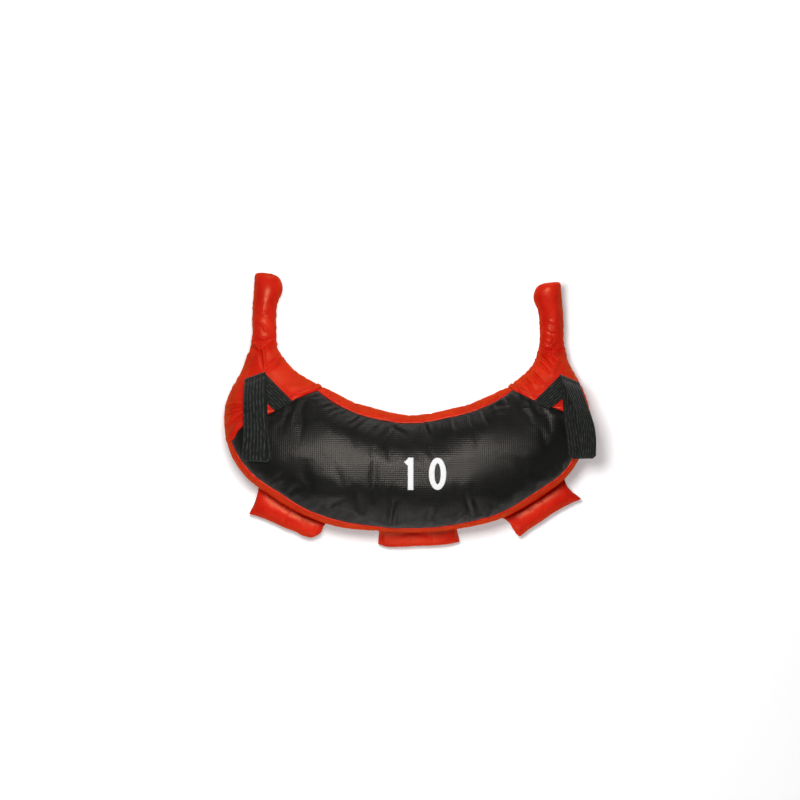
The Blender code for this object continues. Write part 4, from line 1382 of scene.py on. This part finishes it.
def strap_loop(side, shares, tree):
    """The hand loop: down from the fold, round its free end and back above itself."""
    axis_ends = strap_axis(side, shares)
    upper_end = [plan_point(corner) for corner in shares["upper"]]
    lower_end = [plan_point(corner) for corner in shares["lower"]]
    fold_middle = (axis_ends[0] + axis_ends[1]) / 2
    far_middle = (upper_end[0] + upper_end[1]) / 2
    length = (far_middle - fold_middle).to_2d().length
    fold_slope = axis_ends[1].z - axis_ends[0].z
    end_slope = (upper_end[1] - upper_end[0]).length * math.tan(loop_end_roll)

    def place_at(layer, share, along_here):
        """A place on the loop's layer, sloped across from the fold's slope to its free end's."""
        far_outer = mix(lower_end[0], upper_end[0], layer)
        far_inner = mix(lower_end[1], upper_end[1], layer)
        near = mix(axis_ends[0], axis_ends[1], share).to_2d()
        far = mix(far_outer, far_inner, share).to_2d()
        flat = mix(near, far, along_here / length)
        along_share = min(max(along_here / length, 0), 1)
        curve = max(math.sin(math.pi * along_share ** loop_bow_power), 0)
        bow = layer * mix(*shares["bow"], share) * curve
        wave = math.sin(loop_wave_pace * along_here / length + loop_wave_shift * layer)
        roll = mix(fold_slope, end_slope, along_share) * (share - 0.5)
        return Vector((flat.x + loop_wave_height * wave + bow, flat.y, roll))

    def bed_height(along_here):
        """The height that clears everything under the loop at this distance from the fold."""
        found = []
        for layer in (0, 1):
            for step in range(loop_bed_steps + 1):
                place = place_at(layer, step / loop_bed_steps, along_here)
                low = top_height(tree, place.x, place.y, loop_bed_reach)
                if low is not None:
                    found.append(low - place.z)
        return max(found) + strap_clearance

    def wrap(size, height_over_axis, shares_round, layer):
        """The loop's bend round the fold, below or above."""
        reach, start, sweep = size
        return arc(
            (wrap_set_in, fold_middle.z), (reach, height_over_axis), start, sweep, shares_round,
            (layer, layer))

    start_height = fold_middle.z + strap_fold_radius + strap_clearance
    stations = [mix(wrap_set_in, length, step / loop_steps) for step in range(loop_steps + 1)]
    beds = smoothed(
        [start_height] + [max(bed_height(station), start_height) for station in stations[1:]])
    on_bed = list(zip(stations, beds))[1:]
    path = wrap(
        lower_wrap, start_height + half_layer - fold_middle.z,
        [step / wrap_steps for step in range(wrap_steps)], 0)
    for station, bed in on_bed:
        path.append((station, bed + half_layer, 0))
    turn_radius = loop_end_turn / 2 + half_layer
    path += arc(
        (length, path[-1][1] + turn_radius), (turn_radius, turn_radius), -math.pi / 2, math.pi,
        [step / loop_turn_steps for step in range(1, loop_turn_steps)], (0, 1))
    for station, bed in on_bed[::-1]:
        share = station / length
        arch = max(math.sin(math.pi * share), 0) ** loop_opening_power
        gap = mix(strap_clearance, loop_end_turn, share) + arch * (loop_opening - loop_end_turn * share)
        path.append((station, bed + 3 * half_layer + gap, 1))
    path += wrap(
        upper_wrap, beds[0] + 3 * half_layer + strap_clearance - fold_middle.z,
        [(step + 1) / wrap_steps for step in range(wrap_steps)], 1)
    piece = webbing_band(side + "_strap_band", path, place_at)
    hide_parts(side + "_strap_loop")
    blend_at_hinge(piece)


def smoothed(values, rounds=4):
    """A row of heights with its corners rounded upwards."""
    made = list(values)
    for _ in range(rounds):
        made = [made[0]] + [
            max(here, (before + 2 * here + after) / 4)
            for before, here, after in zip(made, made[1:], made[2:])] + [made[-1]]
    return made


for side, shares in (("left", left_strap_shares), ("right", right_strap_shares)):
    covers = [panel_covers["front_panel"], panel_covers["outer_gusset"], wing_covers[side]]
    leg = strap_leg(side, shares, surface_tree(covers))
    strap_loop(side, shares, surface_tree(covers + [leg]))


# Grip tabs

def tab_frame(side):
    """A tab's hinge: local X runs along it, Y lies in the tab and points away from the bag."""
    pivot, hinge = pivot_of(side + "_tab_swing")
    hinge = Vector((hinge.x, hinge.y, 0)).normalized()
    outward = Vector((-hinge.y, hinge.x, 0))
    if outward.dot(pivot - Vector((0, bag_reach / 2, pivot.z))) < 0:
        hinge = -hinge
        outward = -outward
    turn = Matrix((hinge, outward, Vector((0, 0, 1)))).transposed().to_4x4()
    return Matrix.Translation(pivot) @ turn @ Matrix.Rotation(-tab_droop[side], 4, "X")


def in_tab(side, world_frame, pixel):
    """A pixel of the picture as a place in the plane of a tab."""
    place = Vector((*at_pixel(pixel), 0)) - world_frame.translation
    hinge = world_frame.to_3x3().col[0]
    outward = Vector((-hinge.y, hinge.x, 0))
    return np.array((place.dot(hinge), place.dot(outward) / math.cos(tab_droop[side])))


def along_line(corners, count):
    """Evenly spaced places on a line through some corners."""
    corners = np.array(corners)
    lengths = np.concatenate(([0], np.cumsum(np.linalg.norm(np.diff(corners, axis=0), axis=1))))
    stations = np.linspace(0, lengths[-1], count)
    return np.stack([np.interp(stations, lengths, corners[:, axis]) for axis in (0, 1)], axis=1)


def tab_plan(side, world_frame, u, v):
    """A grid of places between a tab's root, its two sides and its far edge."""
    edge_counts = (tab_steps_out, tab_steps_along, tab_steps_out)
    first_side, far_edge, last_side = [
        along_line([in_tab(side, world_frame, pixel) for pixel in pixels], count)
        for pixels, count in zip(tab_outline_pixels[side], edge_counts)]
    last_side = last_side[::-1]
    first_side[0][1] = last_side[0][1] = -flange_reach
    root = along_line([first_side[0], last_side[0]], tab_steps_along)
    u = u[:, :, None]
    v = v[:, :, None]
    sides = mix(first_side[:, None], last_side[:, None], u)
    ends = mix(root[None], far_edge[None], v)
    corners = mix(mix(root[0], root[-1], u), mix(far_edge[0], far_edge[-1], u), v)
    return sides + ends - corners


def tab_bulge(u, v, crest_power):
    """How thick a tab's filling is at a place across and along it."""
    across = np.clip(1 - abs(2 * u - 1) ** tab_side_power, 0, 1) ** tab_side_fall
    out = np.clip(np.sin(np.pi * np.clip(v, 0, 1) ** crest_power), 0, 1) ** tab_far_fall
    return across * out


def pillow(side, world_frame, name, inset=0):
    """The closed skin of a tab's pillow, flat in its own plane, and the vertices of its sewn edge."""
    u = np.linspace(0, 1, tab_steps_along)[None, :]
    v = np.linspace(0, 1, tab_steps_out)[:, None]
    plan = tab_plan(side, world_frame, u, v)
    if inset:
        middle = plan.mean(axis=(0, 1))
        plan = middle + (plan - middle) * (1 - foam_side_insets * inset / tab_half_width)
        plan[:, :, 1] = np.maximum(plan[:, :, 1], inset + tab_rim_half_thickness)
    filling = tab_bulge(u, v, tab_crest_power[side]) * (
        tab_half_thickness[side] - foam_face_insets * inset)
    thick = tab_rim_half_thickness * 0.5 + filling
    bow = tab_bow[side] * np.sin(np.pi * v ** tab_bow_power) * np.ones_like(u)
    top = np.concatenate((plan, (bow + thick)[:, :, None]), axis=2).reshape(-1, 3)
    bottom = np.concatenate((plan, (bow - thick)[:, :, None]), axis=2).reshape(-1, 3)
    points = np.concatenate((top, bottom))
    count = len(top)
    faces = grid_faces(tab_steps_out, tab_steps_along)
    lower = [tuple(count + index for index in face[::-1]) for face in faces]
    rim = rim_indices(tab_steps_out, tab_steps_along)
    sides = [
        (here, after, count + after, count + here)
        for here, after in zip(rim, rim[1:] + rim[:1])]
    cuts = np.tile(np.pad(plan.reshape(-1, 2), ((0, 0), (0, 1))), (2, 1))
    piece = mesh_object(name, points, faces + lower + sides, [("cloth", cuts)])
    outward_faces(piece)
    sewn = [index for index, point in enumerate(points) if point[1] < tab_sewn_reach]
    return piece, sorted({*rim, *[count + index for index in rim], *sewn})


def rim_indices(row_total, column_total):
    """The vertices round a grid's edge, in order."""
    first = list(range(column_total))
    right = [row * column_total + column_total - 1 for row in range(1, row_total)]
    last = [(row_total - 1) * column_total + column for column in range(column_total - 2, -1, -1)]
    left = [row * column_total for row in range(row_total - 2, 0, -1)]
    return first + right + last + left


def finish_tab(piece, world_frame, finish, subdivisions):
    """Smooths a tab's piece, hangs it in its place by its hinge and gives it its material."""
    smooth = piece.modifiers.new("smooth", "SUBSURF")
    smooth.levels = subdivisions
    apply_modifiers(piece)
    piece.data.transform(world_frame)
    piece.data.materials.append(finish)
    blend_at_hinge(piece)


def make_tab(side):
    """A grip tab: a vinyl pillow sewn to the gusset, with foam in it."""
    world_frame = tab_frame(side)
    cover, held = pillow(side, world_frame, side + "_tab_pillow")
    settle(cover, held, tab_pressure, tab_shrink, tab_cloth_frames, tab_cloth_cap)
    finish_tab(cover, world_frame, red_vinyl_finish, subdivisions=1)
    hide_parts(side + "_tab_cover", side + "_tab_flange")
    foam, _ = pillow(side, world_frame, side + "_tab_foam", foam_inset)
    finish_tab(foam, world_frame, foam_cream, subdivisions=0)
    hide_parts(side + "_tab_pad")


for side in ("left", "centre", "right"):
    make_tab(side)


# Numerals

def film_band(name, tree, edges, closed, replaced):
    """A printed band that follows the panel, from pairs of edge points seen from above."""
    rings = []
    for start, end in edges:
        lower = []
        upper = []
        for step in range(film_steps_across + 1):
            share = step / film_steps_across
            point = mix(start, end, share)
            bed = top_height(tree, point.x, point.y) + film_gap
            rounded = 1 - abs(2 * share - 1) ** film_edge_power
            rise = film_thickness * mix(film_edge_share, 1, rounded)
            lower.append(Vector((point.x, point.y, bed)))
            upper.append(Vector((point.x, point.y, bed + rise)))
        rings.append(upper + lower[::-1])
    if closed:
        rings.append(rings[0])
    grid_size = len(rings), len(rings[0])
    faces = grid_faces(*grid_size, closed=True) if closed else tube_faces(*grid_size)
    piece = mesh_object(name, [point for ring in rings for point in ring], faces)
    outward_faces(piece, weld_reach=1e-6)
    piece.data.materials.append(film_white)
    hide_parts(replaced)
    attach(piece, "bag_body")


def make_numerals(tree):
    """The numerals one and nought, for ten kilograms."""
    half_height = numeral_height / 2
    base = Vector((mark_offset, -mark_drop, 0))
    tens = base - Vector((numeral_spacing / 2, 0, 0))
    units = base + Vector((numeral_spacing / 2, 0, 0))
    edges = []
    for share in np.linspace(0, 1, one_steps):
        height = mix(-half_height, half_height, float(share))
        flag = numeral_flag * max(1 - abs(share - numeral_flag_place) / numeral_flag_share, 0)
        left = tens + Vector((-numeral_stroke / 2 - flag, height, 0))
        edges.append((left, tens + Vector((numeral_stroke / 2, height, 0))))
    film_band("numeral_one", tree, edges, False, "weight_mark_tens")
    edges = []
    for angle in np.linspace(0, 2 * math.pi, nought_steps, endpoint=False):
        direction = Vector((math.cos(angle), math.sin(angle), 0))
        outer = Vector((direction.x * numeral_width / 2, direction.y * half_height, 0))
        edges.append((units + outer - direction * numeral_stroke, units + outer))
    film_band("numeral_nought", tree, edges, True, "weight_mark_units")


make_numerals(surface_tree([panel_covers["front_panel"]]))


# Stitches

def stitch_points(start, end, up):
    """The rings of points of one stitch, a short sunken capsule."""
    heading = (end - start).normalized()
    side_way = heading.cross(up).normalized()
    middle = (start + end) / 2
    points = []
    for along_share, size, rise in stitch_rings:
        centre = middle + heading * along_share * stitch_length + up * rise * stitch_width
        for corner in range(stitch_corners):
            angle = 2 * math.pi * corner / stitch_corners
            outward = side_way * math.cos(angle) + up * math.sin(angle)
            points.append(centre + outward * size * stitch_width / 2)
    return points


def hem_stitches(side):
    """The row of stitches that holds a wing's hem down."""
    line = hem_line(side)
    places_on_line = np.array([tuple(point) for point, _ in line])
    normals_on_line = np.array([tuple(normal) for _, normal in line])
    stations = [0.0]
    for (before, _), (after, _) in zip(line, line[1:]):
        stations.append(stations[-1] + (after - before).length)

    def on_line(station, data):
        """A place or a normal at a distance along the line."""
        return Vector([float(np.interp(station, stations, data[:, axis])) for axis in range(3)])

    one_stitch = tube_faces(len(stitch_rings), stitch_corners)
    vertices = []
    faces = []
    place = stitch_gap
    while place + stitch_length < stations[-1]:
        start = on_line(place, places_on_line)
        end = on_line(place + stitch_length, places_on_line)
        up = on_line(place + stitch_length / 2, normals_on_line).normalized()
        faces += [tuple(len(vertices) + index for index in face) for face in one_stitch]
        vertices += stitch_points(start, end, up)
        place += stitch_length + stitch_gap
    piece = mesh_object(side + "_hem_stitches", vertices, faces)
    outward_faces(piece)
    piece.data.materials.append(red_thread)
    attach(piece, "bag_body")


def hem_line(side):
    """The line round the wing where its hem is sewn down, with the skin's normals."""
    seam = left_seam if side == "left" else right_seam
    sign = -1 if side == "left" else 1
    on_wing = (np.arange(len(rows)) - seam) * sign >= 0
    line = []
    for column in [*range(ring_count), 0]:
        distance = np.where(on_wing, abs(along[:, column] - along[seam, column]), 1.0)
        index = int(np.argmin(abs(distance - hem_stitch_place)))
        line.append((Vector(cover_points[index, column]), Vector(normals[index, column])))
    return line


for side in ("left", "right"):
    hem_stitches(side)


# Materials of what stays as packed

kept_finishes = (
    (felt_grey, ["wadding_wrap"]),
    (canvas_beige, ["left_sand_bag", "centre_sand_bag", "right_sand_bag"]),
    (textile_mixed, ["left_wing_stuffing", "right_wing_stuffing"]),
)
for finish, names in kept_finishes:
    for name in names:
        nodes[name].data.materials.clear()
        nodes[name].data.materials.append(finish)


# Studio

def area_light(name, place, size, power):
    """A square soft light that faces the bag."""
    data = bpy.data.lights.new(name, "AREA")
    data.shape = "SQUARE"
    data.size = size
    data.energy = power
    lamp = bpy.data.objects.new(name, data)
    lamp.location = place
    lamp.rotation_euler = (Vector(light_target) - lamp.location).to_track_quat("-Z", "Y").to_euler()
    bpy.context.scene.collection.objects.link(lamp)


def make_floor():
    """A white floor that shows as white, under a trace of the bag's shadow."""
    bpy.ops.mesh.primitive_plane_add(size=floor_size)
    floor = bpy.context.object
    floor.name = "studio_floor"
    floor.location.z = -floor_gap
    finish = Finish(
        "floor_white", distribution="MULTI_GGX", Base_Color=grey(0.80), Roughness=0.9,
        Specular_IOR_Level=0.1, Emission_Color=grey(1.0))
    path = finish.node("LightPath").outputs
    seen = finish.math("MAXIMUM", path["Is Camera Ray"], path["Is Glossy Ray"])
    through = finish.math("MAXIMUM", seen, path["Is Transmission Ray"])
    finish.link(finish.math("MULTIPLY", through, floor_glow), "Emission Strength")
    floor.data.materials.append(finish.material)


def make_camera():
    """The camera straight above the picture's middle."""
    data = bpy.data.cameras.new("camera")
    data.lens = lens_mm
    data.sensor_width = sensor_mm
    camera = bpy.data.objects.new("camera", data)
    middle = at_pixel((picture_pixels / 2, picture_pixels / 2))
    width = picture_pixels * metres_per_pixel
    distance = width * lens_mm / sensor_mm
    camera.location = (middle[0], middle[1], widest_level + distance)
    bpy.context.scene.collection.objects.link(camera)
    bpy.context.scene.camera = camera


def make_world():
    """A pale surround that is darker overhead, where the studio's ceiling is."""
    world = bpy.data.worlds.new("surround")
    world.use_nodes = True
    tree = world.node_tree
    background = tree.nodes["Background"]
    place = tree.nodes.new("ShaderNodeTexCoord")
    split = tree.nodes.new("ShaderNodeSeparateXYZ")
    tree.links.new(place.outputs["Generated"], split.inputs["Vector"])
    ramp = tree.nodes.new("ShaderNodeValToRGB")
    tree.links.new(split.outputs["Z"], ramp.inputs["Fac"])
    for element, (height, shade) in zip(ramp.color_ramp.elements, surround_shades):
        element.position = height
        element.color = grey(shade)
    tree.links.new(ramp.outputs["Color"], background.inputs["Color"])
    background.inputs["Strength"].default_value = surround_strength
    bpy.context.scene.world = world


make_floor()
make_camera()
make_world()
for light in studio_lights:
    area_light(*light)
bpy.context.scene.view_settings.view_transform = "Standard"
